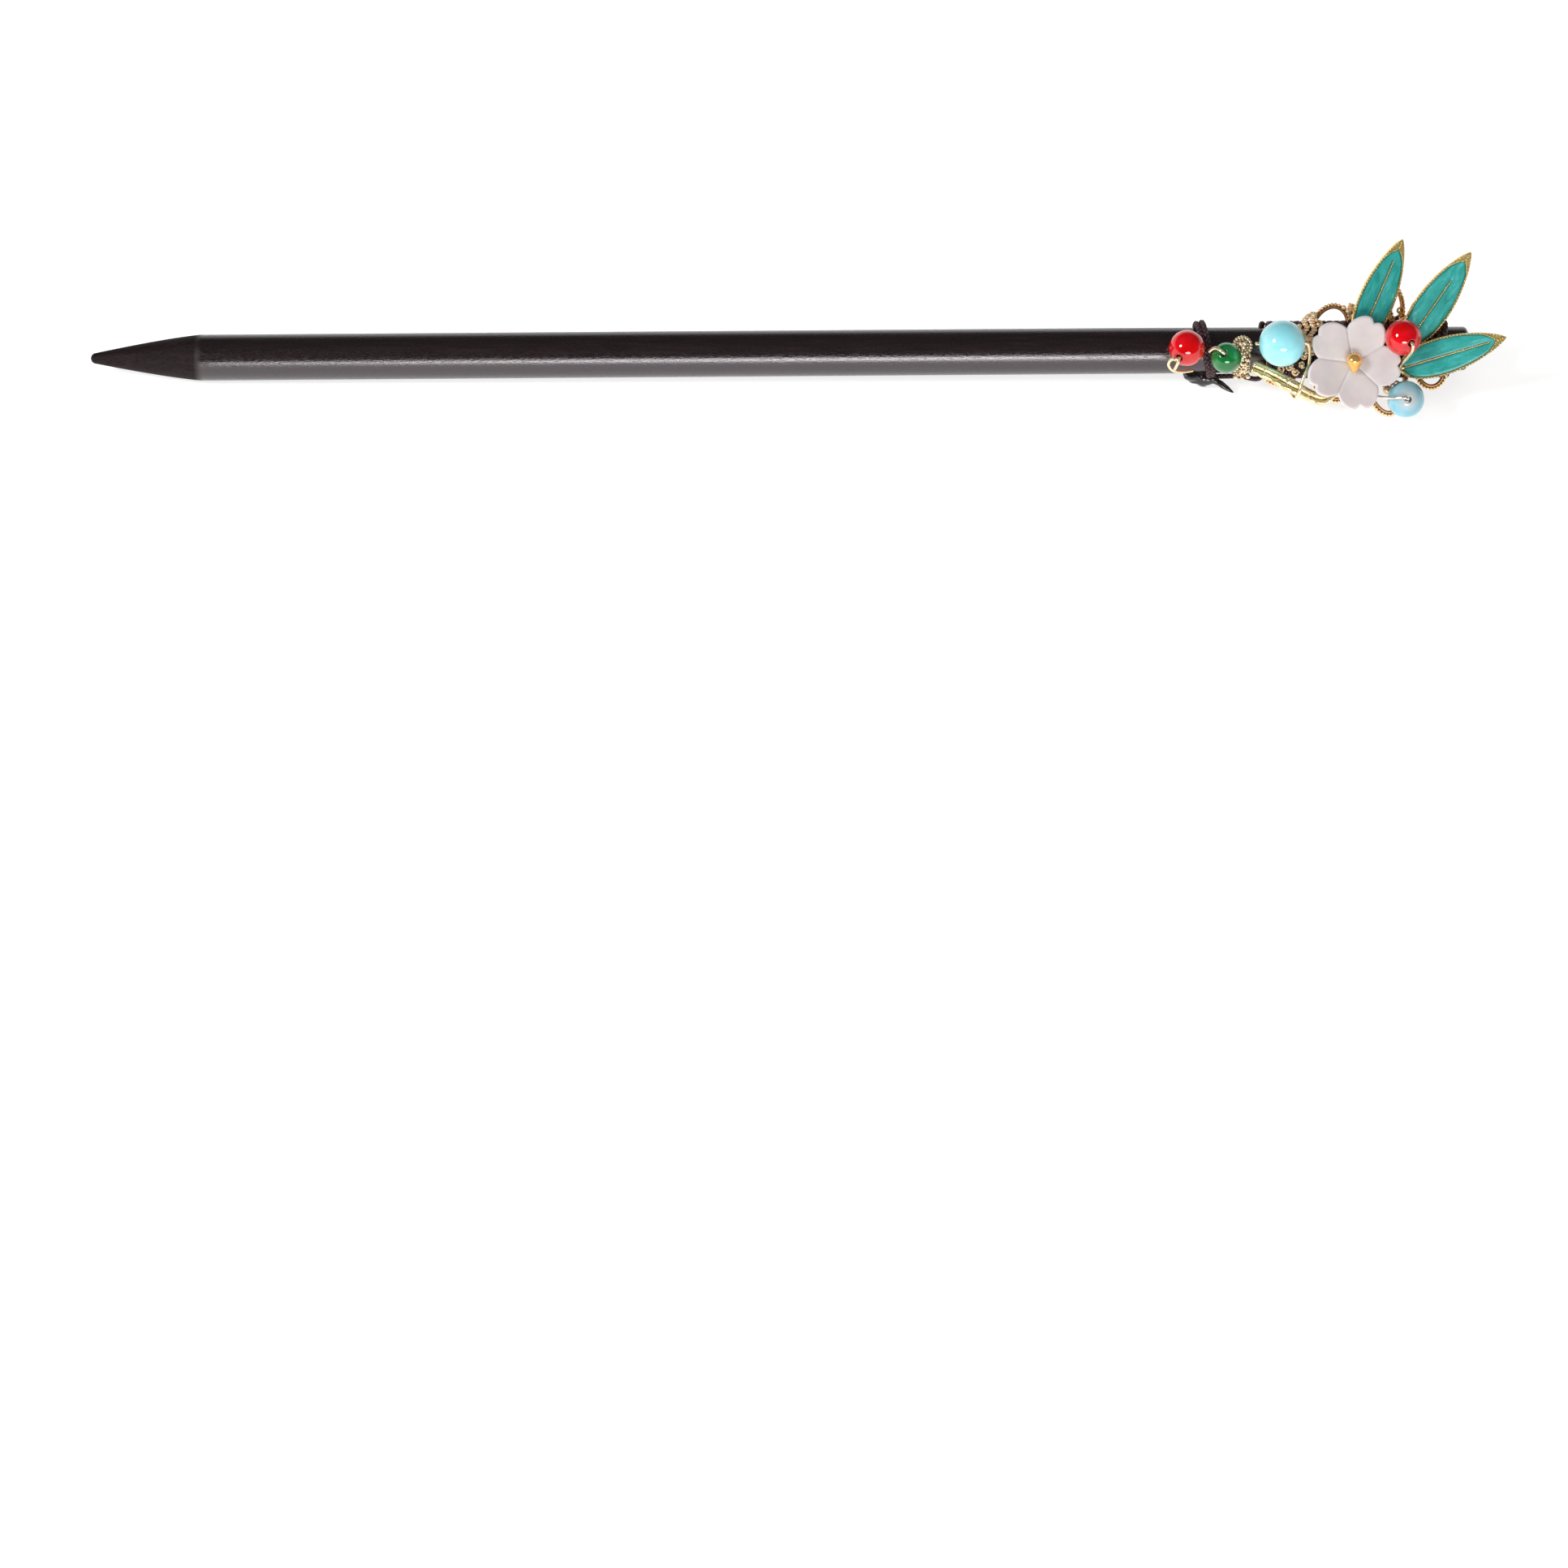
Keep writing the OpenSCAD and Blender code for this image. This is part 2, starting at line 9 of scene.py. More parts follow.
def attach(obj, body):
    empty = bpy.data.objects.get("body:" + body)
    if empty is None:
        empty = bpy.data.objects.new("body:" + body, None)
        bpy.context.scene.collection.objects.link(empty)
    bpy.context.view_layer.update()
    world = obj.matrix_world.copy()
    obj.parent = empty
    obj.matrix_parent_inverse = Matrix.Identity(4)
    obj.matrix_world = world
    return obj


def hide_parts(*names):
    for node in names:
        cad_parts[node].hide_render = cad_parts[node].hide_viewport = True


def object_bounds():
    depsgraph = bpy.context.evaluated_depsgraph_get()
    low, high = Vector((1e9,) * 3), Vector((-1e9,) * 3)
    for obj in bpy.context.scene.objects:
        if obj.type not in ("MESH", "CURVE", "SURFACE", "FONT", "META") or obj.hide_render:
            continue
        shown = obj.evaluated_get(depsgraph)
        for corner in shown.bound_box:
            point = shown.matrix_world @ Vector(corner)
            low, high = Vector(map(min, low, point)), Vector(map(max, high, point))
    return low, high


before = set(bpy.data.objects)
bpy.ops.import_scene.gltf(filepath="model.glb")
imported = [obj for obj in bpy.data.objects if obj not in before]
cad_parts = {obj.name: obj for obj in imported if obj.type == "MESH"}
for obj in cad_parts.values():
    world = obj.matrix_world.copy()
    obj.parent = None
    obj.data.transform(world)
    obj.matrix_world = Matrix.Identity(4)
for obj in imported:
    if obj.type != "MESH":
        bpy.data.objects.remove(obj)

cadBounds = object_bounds()
print("frame loaded,", len(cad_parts), "nodes")

# Pieces are modelled in millimetres, face up and measured back from the butt end, as the
# part's own source draws them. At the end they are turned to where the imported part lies.
mm = 0.001
fit = 0.05             # gap between pieces that touch
mergeGap = 0.0005      # points closer than this become one


# Tools for finishes

def colour(text):
    channels = [int(text[i:i + 2], 16) / 255 for i in (1, 3, 5)]
    return [*(c / 12.92 if c <= 0.04045 else ((c + 0.055) / 1.055) ** 2.4 for c in channels), 1]


def newFinish(name, baseColour, **sockets):
    finish = bpy.data.materials.new(name)
    finish.use_nodes = True
    shader = finish.node_tree.nodes["Principled BSDF"]
    shader.inputs["Base Color"].default_value = colour(baseColour)
    for socket, value in sockets.items():
        shader.inputs[socket.replace("_", " ")].default_value = value
    finish.diffuse_color = colour(baseColour)
    return finish, finish.node_tree, shader


def addNode(tree, kind, inputs=None, **settings):
    made = tree.nodes.new(kind)
    for key, value in settings.items():
        setattr(made, key, value)
    for key, value in (inputs or {}).items():
        if isinstance(value, bpy.types.NodeSocket):
            tree.links.new(value, made.inputs[key])
        else:
            made.inputs[key].default_value = value
    return made


def coords(tree, kind="Object", stretch=(1, 1, 1)):
    source = addNode(tree, "ShaderNodeTexCoord").outputs[kind]
    return addNode(tree, "ShaderNodeMapping", {"Vector": source, "Scale": stretch}).outputs[0]


def noiseOf(tree, where, scale, detail, rough, distort=0.0):
    return addNode(tree, "ShaderNodeTexNoise", {
        "Vector": where, "Scale": scale, "Detail": detail, "Roughness": rough,
        "Distortion": distort}).outputs[0]


def rampOf(tree, factor, stops):
    made = addNode(tree, "ShaderNodeValToRGB", {"Fac": factor})
    elements = made.color_ramp.elements
    while len(elements) < len(stops):
        elements.new(0.5)
    for element, (place, text) in zip(elements, stops):
        element.position = place
        element.color = colour(text)
    return made.outputs[0]


def rangeOf(tree, value, fromLow, fromHigh, toLow, toHigh):
    return addNode(tree, "ShaderNodeMapRange", {
        "Value": value, "From Min": fromLow, "From Max": fromHigh, "To Min": toLow,
        "To Max": toHigh}).outputs[0]


def mixOf(tree, factor, first, second, blend="MIX"):
    return addNode(tree, "ShaderNodeMix", {0: factor, 6: first, 7: second}, data_type="RGBA",
                   blend_type=blend).outputs[2]


def bumpOf(tree, height, distance, strength):
    return addNode(tree, "ShaderNodeBump", {
        "Height": height, "Distance": distance, "Strength": strength}).outputs[0]


def hollowsOf(tree, distance):
    return addNode(tree, "ShaderNodeAmbientOcclusion", {"Distance": distance},
                   samples=8).outputs["AO"]


def mathOf(tree, operation, *values):
    return addNode(tree, "ShaderNodeMath", dict(enumerate(values)), operation=operation).outputs[0]


def attributeOf(tree, name):
    return addNode(tree, "ShaderNodeAttribute", attribute_name=name).outputs["Fac"]


def plug(tree, shader, **sources):
    for socket, source in sources.items():
        tree.links.new(source, shader.inputs[socket.replace("_", " ")])


# Cast and drawn metal: bright where it stands free, with painted shade that darkens it where it lies
# in a hollow
def castMetal(name, bright, middle, dark, rough, hammer=0.4, reach=0.0004, metal=0.75,
              dentScale=2300, dentDepth=0.00006):
    finish, tree, shader = newFinish(name, middle, Metallic=metal, Roughness=rough)
    cloud = noiseOf(tree, coords(tree), 900, 4, 0.6)
    tone = rampOf(tree, cloud, [(0.35, middle), (0.65, bright)])
    # painted shade: the colour turns to the dark colour where nearby metal hides a spot, in hollows
    # and between grains
    hollowShade = rampOf(tree, hollowsOf(tree, reach), [(0.25, dark), (0.8, "#ffffff")])
    dents = noiseOf(tree, coords(tree), dentScale, 2, 0.5)
    plug(tree, shader, Base_Color=mixOf(tree, 1.0, tone, hollowShade, "MULTIPLY"),
         Roughness=rangeOf(tree, cloud, 0.3, 0.7, rough + 0.1, max(0.04, rough - 0.06)),
         Normal=bumpOf(tree, dents, dentDepth, hammer))
    return finish


# Tools for shaping

def onCircle(radius, degrees):
    angle = math.radians(degrees)
    return radius * math.cos(angle), radius * math.sin(angle)


def smoothPath(points, steps):
    path = []
    last = len(points) - 1
    vectors = [Vector(p) for p in points]
    for i in range(last):
        a, b = vectors[max(0, i - 1)], vectors[i]
        c, d = vectors[i + 1], vectors[min(last, i + 2)]
        for step in range(steps):
            u = step / steps
            path.append(0.5 * (2 * b + (c - a) * u + (2 * a - 5 * b + 4 * c - d) * u * u
                               + (3 * b - a - 3 * c + d) * u ** 3))
    return path + [vectors[last]]


def pathLengths(points):
    lengths = [0.0]
    for a, b in zip(points, points[1:]):
        lengths.append(lengths[-1] + (b - a).length)
    return lengths


def evenPath(points, spacing):
    lengths = pathLengths(points)
    count = max(2, round(lengths[-1] / spacing))
    path, at = [], 0
    for i in range(count + 1):
        want = lengths[-1] * i / count
        while at < len(points) - 2 and lengths[at + 1] < want:
            at += 1
        span = lengths[at + 1] - lengths[at]
        path.append(points[at].lerp(points[at + 1], (want - lengths[at]) / span if span else 0))
    return path


def join(target, part, material=0):
    for face in part.faces:
        face.material_index = material
    holder = bpy.data.meshes.new("holder")
    part.to_mesh(holder)
    part.free()
    target.from_mesh(holder)
    bpy.data.meshes.remove(holder)


def mergeAndTurn(part):
    bmesh.ops.remove_doubles(part, verts=part.verts, dist=mergeGap)
    bmesh.ops.recalc_face_normals(part, faces=part.faces)


# Extrudes faces and gives back the new vertices
def extruded(part, faces, keep=True):
    made = bmesh.ops.extrude_face_region(part, geom=faces, use_keep_orig=keep)
    return {element for element in made["geom"] if isinstance(element, bmesh.types.BMVert)}


# Sizes eased in the same way as the points of a smooth path
def smoothSizes(sizes, steps):
    return [place.x for place in smoothPath([(size, 0, 0) for size in sizes], steps)]


# Adds a flat grid and gives each vertex its place along and across, counted from one corner
def countedGrid(part, long, wide):
    bmesh.ops.create_grid(part, x_segments=long, y_segments=wide, size=1)
    return {vert: (round((vert.co.x + 1) / 2 * long), round((vert.co.y + 1) / 2 * wide))
            for vert in part.verts}


# A round bar rolled up from a grid, with rounded ends; its map runs along it in millimetres
# and once round it
def sweep(points, radii, sides, axisHint=None, wide=1.0, lump=None):
    points = [Vector(p) for p in points]
    radii = list(radii) if hasattr(radii, "__len__") else [radii] * len(points)
    tangents = [(points[min(i + 1, len(points) - 1)] - points[max(i - 1, 0)]).normalized()
                for i in range(len(points))]
    for end, way in ((0, -1), (-1, 1)):
        base, direction, size = points[end], tangents[end] * way, radii[end]
        for degrees in (30, 60, 90):
            angle = math.radians(degrees)
            where = 0 if way < 0 else len(points)
            points.insert(where, base + direction * size * math.sin(angle))
            radii.insert(where, size * math.cos(angle))
            tangents.insert(where, tangents[end])
    lengths = pathLengths(points)
    side = Vector(axisHint) if axisHint else (
        Vector((0, 0, 1)) if abs(tangents[0].z) < 0.8 else Vector((1, 0, 0)))
    sidesAt = []
    for tangent in tangents:
        source = Vector(axisHint) if axisHint else side
        side = (source - tangent * source.dot(tangent)).normalized()
        sidesAt.append(side)
    part = bmesh.new()
    mapLayer = part.loops.layers.uv.new("UVMap")
    places = countedGrid(part, len(points) - 1, sides)
    for face in part.faces:
        for loop in face.loops:
            i, j = places[loop.vert]
            loop[mapLayer].uv = (lengths[i], j / sides)
    for vert, (i, j) in places.items():
        angle = 2 * math.pi * j / sides
        size = radii[i] * (lump(lengths[i], j / sides) if lump else 1)
        up = tangents[i].cross(sidesAt[i])
        vert.co = points[i] + (sidesAt[i] * math.cos(angle) * wide + up * math.sin(angle)) * size
    mergeAndTurn(part)
    return part


def ball(radius, place, rounds=10, rows=7):
    part = bmesh.new()
    bmesh.ops.create_uvsphere(part, u_segments=rounds, v_segments=rows, radius=radius,
                              matrix=Matrix.Translation(Vector(place)))
    return part


# A row of small beads along a path, as on a beaded wire
def beadRow(target, points, pitch, radius, material=0, squash=(1, 1, 1), rounds=8, rows=6):
    row = bmesh.new()
    for place in evenPath([Vector(p) for p in points], pitch):
        where = Matrix.Translation(place) @ Matrix.Diagonal((*squash, 1))
        bmesh.ops.create_uvsphere(row, u_segments=rounds, v_segments=rows, radius=radius,
                                  matrix=where)
    join(target, row, material)


# A shape turned about the Z axis from its half outline, closed where it meets the axis
def turned(outline, steps, closed=False):
    part = bmesh.new()
    verts = [part.verts.new((radius, 0, height)) for radius, height in outline]
    edges = [part.edges.new(pair) for pair in zip(verts, verts[1:])]
    if closed:
        edges.append(part.edges.new((verts[-1], verts[0])))
    bmesh.ops.spin(part, geom=verts + edges, cent=(0, 0, 0), axis=(0, 0, 1),
                   angle=2 * math.pi, steps=steps, use_merge=True)
    mergeAndTurn(part)
    return part


def aim(direction):
    return Vector((0, 0, 1)).rotation_difference(Vector(direction)).to_matrix().to_4x4()


def put(name, data):
    made = bpy.data.objects.new(name, data)
    bpy.context.scene.collection.objects.link(made)
    return made


toLay = []      # meshes that wait to be laid, each with its place and its sharp angle


def finishPiece(name, part, finishes, nodes, sharp, where=Matrix()):
    mesh = bpy.data.meshes.new(name)
    part.to_mesh(mesh)
    part.free()
    for finish in finishes:
        mesh.materials.append(finish)
    piece = put(name, mesh)
    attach(piece, "root")
    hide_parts(*nodes)
    toLay.append((mesh, where, sharp))


# Stick
stickPiece = {"length": 180, "radius": 3, "tipLength": 14.6, "tipRadius": 0.72,
              "buttTaper": 0.3, "taperLength": 42.5, "buttRound": 0.6, "sides": 128}
stickRadius = stickPiece["radius"]
onStick = stickRadius + fit


def darkWood():
    finish, tree, shader = newFinish("darkWood", "#1b1616", Roughness=0.2, IOR=1.85,
                                     Specular_Tint=colour("#fff8fc"))
    grain = noiseOf(tree, coords(tree, stretch=(160, 2200, 2200)), 1.0, 6, 0.62, 0.25)
    pores = noiseOf(tree, coords(tree, stretch=(1500, 5200, 5200)), 1.0, 4, 0.6)
    base = rampOf(tree, grain, [(0.3, "#180e0f"), (0.52, "#201516"), (0.75, "#2b1e1f")])
    dips = rampOf(tree, pores, [(0.36, "#4a4444"), (0.46, "#ffffff")])
    along = addNode(tree, "ShaderNodeSeparateXYZ", {"Vector": coords(tree)}).outputs["X"]
    cone = rangeOf(tree, along, -0.0763, -0.0752, 1, 0)      # the tip's cone is left matt
    satin = rangeOf(tree, pores, 0.34, 0.6, 0.34, 0.15)
    plug(tree, shader, Base_Color=mixOf(tree, 0.8, base, dips, "MULTIPLY"),
         Roughness=mixOf(tree, cone, satin, (0.7, 0.7, 0.7, 1)),
         Specular_IOR_Level=rangeOf(tree, cone, 0, 1, 0.5, 0.1),
         Normal=bumpOf(tree, pores, 0.00003, 0.7))
    return finish


def stickPart():
    v = stickPiece
    tip, radius, length = v["tipRadius"], v["radius"], v["length"]
    butt = radius - v["buttTaper"] / 2
    shoulder = v["tipLength"]
    outline = [(tip * math.sin(math.radians(a)), tip * (1 - math.cos(math.radians(a))))
               for a in range(0, 90, 15)]
    outline += [(radius - (radius - tip) * (1 - share) ** 1.25, tip + (shoulder - tip) * share)
                for share in (0, 0.08, 0.2, 0.35, 0.5, 0.62, 0.74, 0.84, 0.92, 0.97, 1)]
    outline += [(radius, shoulder + step) for step in (1.5, 6, 30, 60, 90, 115)]
    outline += [(radius, length - v["taperLength"]),
                (butt + 0.03, length - v["taperLength"] / 4), (butt, length - 2)]
    outline += [(butt - v["buttRound"] * (1 - math.cos(math.radians(a))),
                 length - v["buttRound"] * (1 - math.sin(math.radians(a))))
                for a in range(0, 91, 15)]
    outline += [(butt * 0.4, length), (0, length)]
    part = turned(outline, v["sides"])
    part.transform(Matrix.Translation((-length, 0, 0)) @ Matrix.Rotation(math.pi / 2, 4, "Y"))
    return part


finishPiece("stickTurned", stickPart(), [darkWood()], ["stick"], 60)
print("stick turned")


# Binding cord and filigree plate, which hold each other
cordPiece = {"thick": 0.72, "turns": 28, "wrapLength": 24.7, "bareEnd": 2.5,
             "bandThick": 0.84, "bandLean": 12, "bandGap": 7.5,
             "strands": 3, "braidRepeat": 0.62, "braidHeight": 0.16}
platePiece = {"length": 25, "width": 17.5, "thick": 0.8, "rope": 0.62, "ball": 1.15,
              "overhang": 1.4, "railShare": 0.86}
# The filigree's loops: side, feet and top as shares of the plate's length, and reach
loopRows = [(-1, 0.05, 0.25, 0.15, 0.36), (-1, 0.28, 0.53, 0.45, 0.71),
            (-1, 0.57, 0.815, 0.72, 1.00), (-1, 0.845, 1.025, 0.94, 0.45),
            (1, 0.30, 0.52, 0.43, 0.55), (1, 0.545, 0.79, 0.72, 0.96),
            (1, 0.81, 1.00, 0.90, 0.45)]
# Its balls on stalks: side, share of the length, and reach
ballRows = [(-1, 0.48, 0.49), (-1, 0.635, 0.42), (-1, 0.71, 0.44), (1, 0.525, 0.45),
            (1, 0.71, 0.42)]
barShares = [0.09, 0.27, 0.45, 0.625, 0.8, 0.97]
# The lead strand: share along, angle round the stick, and how far it has climbed
leadRows = [(-0.65, -176, 0), (-0.32, -176, 0), (-0.12, -167, 0.55), (0.004, -155, 1),
            (0.04, -141, 1), (0.113, -121, 1), (0.235, -100, 1), (0.348, -80, 1),
            (0.462, -60, 1), (0.591, -40, 1), (0.713, -20, 1), (0.826, -12, 1),
            (0.915, -22, 1), (0.964, -42, 0.95)]
# From the stick's axis: the plate's top and middle, and the outside of the cord's turns
# beside the stick and over the plate
plateTop = onStick + platePiece["thick"]
plateMid = (onStick + plateTop) / 2
wrapOut = onStick + cordPiece["thick"]
wrapTop = plateTop + fit + cordPiece["thick"]
wrapStartX = -cordPiece["bareEnd"] - cordPiece["wrapLength"]
bandX = wrapStartX - cordPiece["bandGap"]
plateX = wrapStartX - platePiece["overhang"]
railY = stickRadius * platePiece["railShare"]
plateReach = platePiece["width"] / 2 - railY


# One family of strands of the braid: high on the strands, low between them
def strandsOf(tree, along, around, way):
    v = cordPiece
    lean = mathOf(tree, "MULTIPLY", along, way * math.pi / v["braidRepeat"])
    turn = mathOf(tree, "MULTIPLY_ADD", around, v["strands"] * math.pi, lean)
    return mathOf(tree, "ABSOLUTE", mathOf(tree, "SINE", turn))


def bindingCord():
    finish, tree, shader = newFinish("bindingCord", "#2a181e", Roughness=0.62,
                                     Sheen_Weight=0.12, Sheen_Roughness=0.5,
                                     Sheen_Tint=colour("#c79aa6"))
    places = addNode(tree, "ShaderNodeSeparateXYZ", {"Vector": coords(tree, "UV")}).outputs
    weave = mathOf(tree, "MULTIPLY", strandsOf(tree, places["X"], places["Y"], 1),
                   strandsOf(tree, places["X"], places["Y"], -1))
    threads = noiseOf(tree, coords(tree, "UV", (1, 6, 1)), 3.2, 3, 0.7)
    speckle = noiseOf(tree, coords(tree, "UV", (1, 4, 1)), 6.0, 2, 0.5)
    base = rampOf(tree, threads, [(0.3, "#1e0f12"), (0.52, "#3d1e24"), (0.72, "#663a42")])
    bright = rampOf(tree, speckle, [(0.56, "#000000"), (0.68, "#b98d97")])
    body = mixOf(tree, 0.7, base, bright, "ADD")
    # painted shade: darker in the grooves between the braid's strands
    shadeBetween = rampOf(tree, weave, [(0.1, "#3a2c30"), (0.5, "#ffffff")])
    plug(tree, shader, Base_Color=mixOf(tree, 1.0, body, shadeBetween, "MULTIPLY"),
         Normal=bumpOf(tree, weave, 0.00012, 0.9))
    return finish


def meltedCord():
    finish, tree, shader = newFinish("meltedCord", "#120c0e", Roughness=0.22, Coat_Weight=0.4,
                                     Coat_Roughness=0.08)
    lumps = noiseOf(tree, coords(tree), 1500, 3, 0.5)
    plug(tree, shader, Base_Color=rampOf(tree, lumps, [(0.35, "#0b0809"), (0.62, "#21181c")]),
         Normal=bumpOf(tree, lumps, 0.0001, 0.5))
    return finish


def braid(along, around):
    v = cordPiece
    first = math.pi * (v["strands"] * around + along / v["braidRepeat"])
    second = math.pi * (v["strands"] * around - along / v["braidRepeat"])
    return 1 - v["braidHeight"] * (1 - abs(math.sin(first)) * abs(math.sin(second))) * 0.9


# One turn round the stick and over the plate, from the far side down and back
def turnOutline():
    reach = onStick + cordPiece["thick"] / 2
    top = plateTop + fit + cordPiece["thick"] / 2
    corner = 0.75
    bends = [onCircle(corner, a) for a in range(0, 91, 15)]
    outline = [onCircle(reach, -a) for a in range(0, 181, 4)]
    outline += [(corner - reach - y, top - corner + z) for y, z in bends]
    outline += [(reach - corner + z, top - corner + y) for y, z in bends]
    return [Vector((0, y, z)) for y, z in outline]


def wrapPart():
    v = cordPiece
    turn = turnOutline()
    turn = evenPath(turn + [turn[0]], 0.2)[:-1]
    edge = v["thick"] * 0.6      # half of a turn's width on the stick
    total = round((v["turns"] - 0.5) * len(turn))
    points = []
    for i in range(total + 1):
        place = turn[i % len(turn)]
        wobble = 0.04 * noise.noise((place.y * 0.7, place.z * 0.7, i / len(turn) * 1.7))
        along = wrapStartX + edge + (v["wrapLength"] - 2 * edge) * i / total
        points.append(Vector((along + wobble, place.y, place.z)))
    return sweep(points, v["thick"] / 2, 12, (1, 0, 0), 1.2, braid)


def leadX(share):
    return wrapStartX + share * (cordPiece["bandGap"] if share < 0 else cordPiece["wrapLength"])


def leadPart():
    low = onStick + cordPiece["thick"] / 2
    high = wrapOut + 0.2 * fit + cordPiece["thick"] / 2
    route = []
    for share, degrees, climb in [(-0.93, -176, 0)] + leadRows:
        route.append((leadX(share), *onCircle(low + (high - low) * climb, degrees)))
    return sweep(evenPath(smoothPath(route, 6), 0.16), cordPiece["thick"] / 2, 12, lump=braid)


def bandPart():
    v = cordPiece
    half = v["bandThick"] / 2
    ring = (stickRadius + 2 * fit + half) / math.cos(math.radians(v["bandLean"]))
    lean = (Matrix.Translation((bandX + 0.4, 0, 0))
            @ Matrix.Rotation(math.radians(v["bandLean"]), 4, "Z"))
    part = bmesh.new()
    for way in (-1, 1):
        points = []
        for step in range(151):
            twist = way * half * 0.96 * math.cos(math.radians(step * 1.2 - 30) * 0.35)
            turn = step * 2.08 - 156      # both ends meet in the knot
            points.append(lean @ Vector((twist, *onCircle(ring, turn))))
        join(part, sweep(points, half, 12, (1, 0, 0), 1.0, braid))
    return part


def knotPart():
    unit = cordPiece["bandThick"]
    centre = Vector((bandX + 0.2, -stickRadius * 0.88 - fit, 0))
    # Lumps and tails: place and size in cord widths from the knot's middle
    lumps = [(-1.3, -0.83, -0.6, 1.13), (-0.6, -0.95, -0.62, 1.2), (0.12, -1.07, -0.71, 1.4),
             (0.8, -1.1, -0.4, 1.2), (1.43, -1.13, -0.12, 1.05)]
    tails = [[(0.95, -1.2, 0, 0.6), (2.4, -1.85, 0.3, 0.5), (3.6, -2.6, 0.3, 0.42),
              (4.6, -3.3, 0.3, 0.16)],
             [(-1.2, -0.83, 0, 0.83), (-2.26, -0.83, 0.48, 0.68), (-2.86, -0.48, 1.07, 0.34)]]
    part = bmesh.new()
    for x, y, z, size in lumps:
        join(part, ball(size * unit * 0.97, centre + Vector((x, y, z)) * unit, 20, 14))
    for tail in tails:
        path = smoothPath([centre + Vector(row[:3]) * unit for row in tail], 5)
        join(part, sweep(path, smoothSizes([row[3] * unit for row in tail], 5), 12))
    return meltTogether(part, cell=0.09, rough=0.1)


# Fuses a heap of solids into one skin and roughens it a little
def meltTogether(part, cell, rough):
    holder = bpy.data.meshes.new("heap")
    part.to_mesh(holder)
    part.free()
    heap = put("heap", holder)
    fuse = heap.modifiers.new("fuse", "REMESH")
    fuse.mode = "VOXEL"
    fuse.voxel_size = cell
    ease = heap.modifiers.new("ease", "SMOOTH")
    ease.iterations = 6
    ready = bpy.data.meshes.new_from_object(heap.evaluated_get(
        bpy.context.evaluated_depsgraph_get()))
    fused = bmesh.new()
    fused.from_mesh(ready)
    for vert in fused.verts:
        vert.co += vert.normal * rough * noise.noise(vert.co * 1.4)
    bpy.data.objects.remove(heap)
    bpy.data.meshes.remove(ready)
    return fused


cordFinish = bindingCord()
finishPiece("cordTurns", wrapPart(), [cordFinish], ["cord_wrap"], 80)
finishPiece("cordLead", leadPart(), [cordFinish], ["cord_lead"], 80)
finishPiece("cordBand", bandPart(), [cordFinish], ["cord_band"], 80)
finishPiece("cordKnot", knotPart(), [meltedCord()], ["cord_knot"], 80)
print("cord wound")


def loopPath(row, inset):
    side, footA, footB, top, reach = row
    middle = (footA + footB) / 2
    half = (footB - footA) / 2 * platePiece["length"] - inset
    rise = reach * plateReach - inset
    points = []
    for degrees in range(0, 181, 6):
        along, out = onCircle(1, degrees)
        share = middle + (top - middle) * out
        points.append(Vector((plateX + share * platePiece["length"] - half * along,
                              side * (railY + rise * out), plateMid)))
    return points


def platePart():
    v = platePiece
    part = bmesh.new()
    mid, rope = plateMid, v["rope"]
    for row in loopRows:
        join(part, sweep(loopPath(row, rope * 0.85), rope * 0.34, 12, (0, 0, 1), 1.8))
        beadRow(part, loopPath(row, rope * 0.3), 0.46, 0.26, 1, (1, 1, 1.5), 10, 8)
    for side in (-1, 1):
        rail = [Vector((plateX + share * v["length"], side * railY, mid))
                for share in (0.07, 0.3, 0.6, 0.99)]
        join(part, sweep(rail, rope * 0.42, 10))
    for share in barShares:
        x = plateX + share * v["length"]
        join(part, sweep([(x, -railY, mid), (x, 0, mid), (x, railY, mid)], rope * 0.42, 10))
    for side, share, reach in ballRows:
        x = plateX + share * v["length"]
        end = side * (railY + reach * plateReach)
        join(part, sweep([(x, side * railY, mid), (x, (side * railY + end) / 2, mid),
                          (x, end, mid)], rope * 0.36, 8))
        join(part, ball(v["ball"] / 2, (x, end, mid), 16, 10), 1)
        ringY = side * (wrapOut + 1.3 * rope)
        ring = [Vector((x, ringY, mid)) + Vector((*onCircle(0.95 * rope, a), 0))
                for a in range(0, 361, 20)]
        beadRow(part, ring, 0.38, 0.19, 1, (1, 1, 1.5))
    bridge(part)
    scrolls(part)
    # A crumpled amber foil shows through the widest loop of the far side
    foil = smoothPath([(-14, 3.4, mid), (-13.4, 4.6, mid), (-12.4, 6.1, mid),
                       (-11.2, 7.3, mid)], 10)
    join(part, sweep(foil, smoothSizes([0.75, 1, 0.62, 0.12], 10), 18, (0, 0, 1), 0.28,
                     lambda along, around: 1 + 0.16 * math.sin(along * 4 + around * 19)), 3)
    return part


# A curl of beaded wire lying face up, with a ball at its heart
def curl(target, x, y, z, size, start, way, finish=2):
    steps, grain = 24, 0.14
    points = []
    for step in range(steps):
        along, across = onCircle(size * (1 - step / (steps * 1.5)), start + way * step * 17)
        points.append(Vector((x + along, y + across, z)))
    join(target, sweep(points, grain, 8, (0, 0, 1), 1.5), finish)
    beadRow(target, [p + Vector((0, 0, grain)) for p in points], grain * 2.4, grain * 1.1, finish)
    join(target, ball(grain * 1.9, points[-1] + Vector((0, 0, 0.1)), 10, 8), finish)


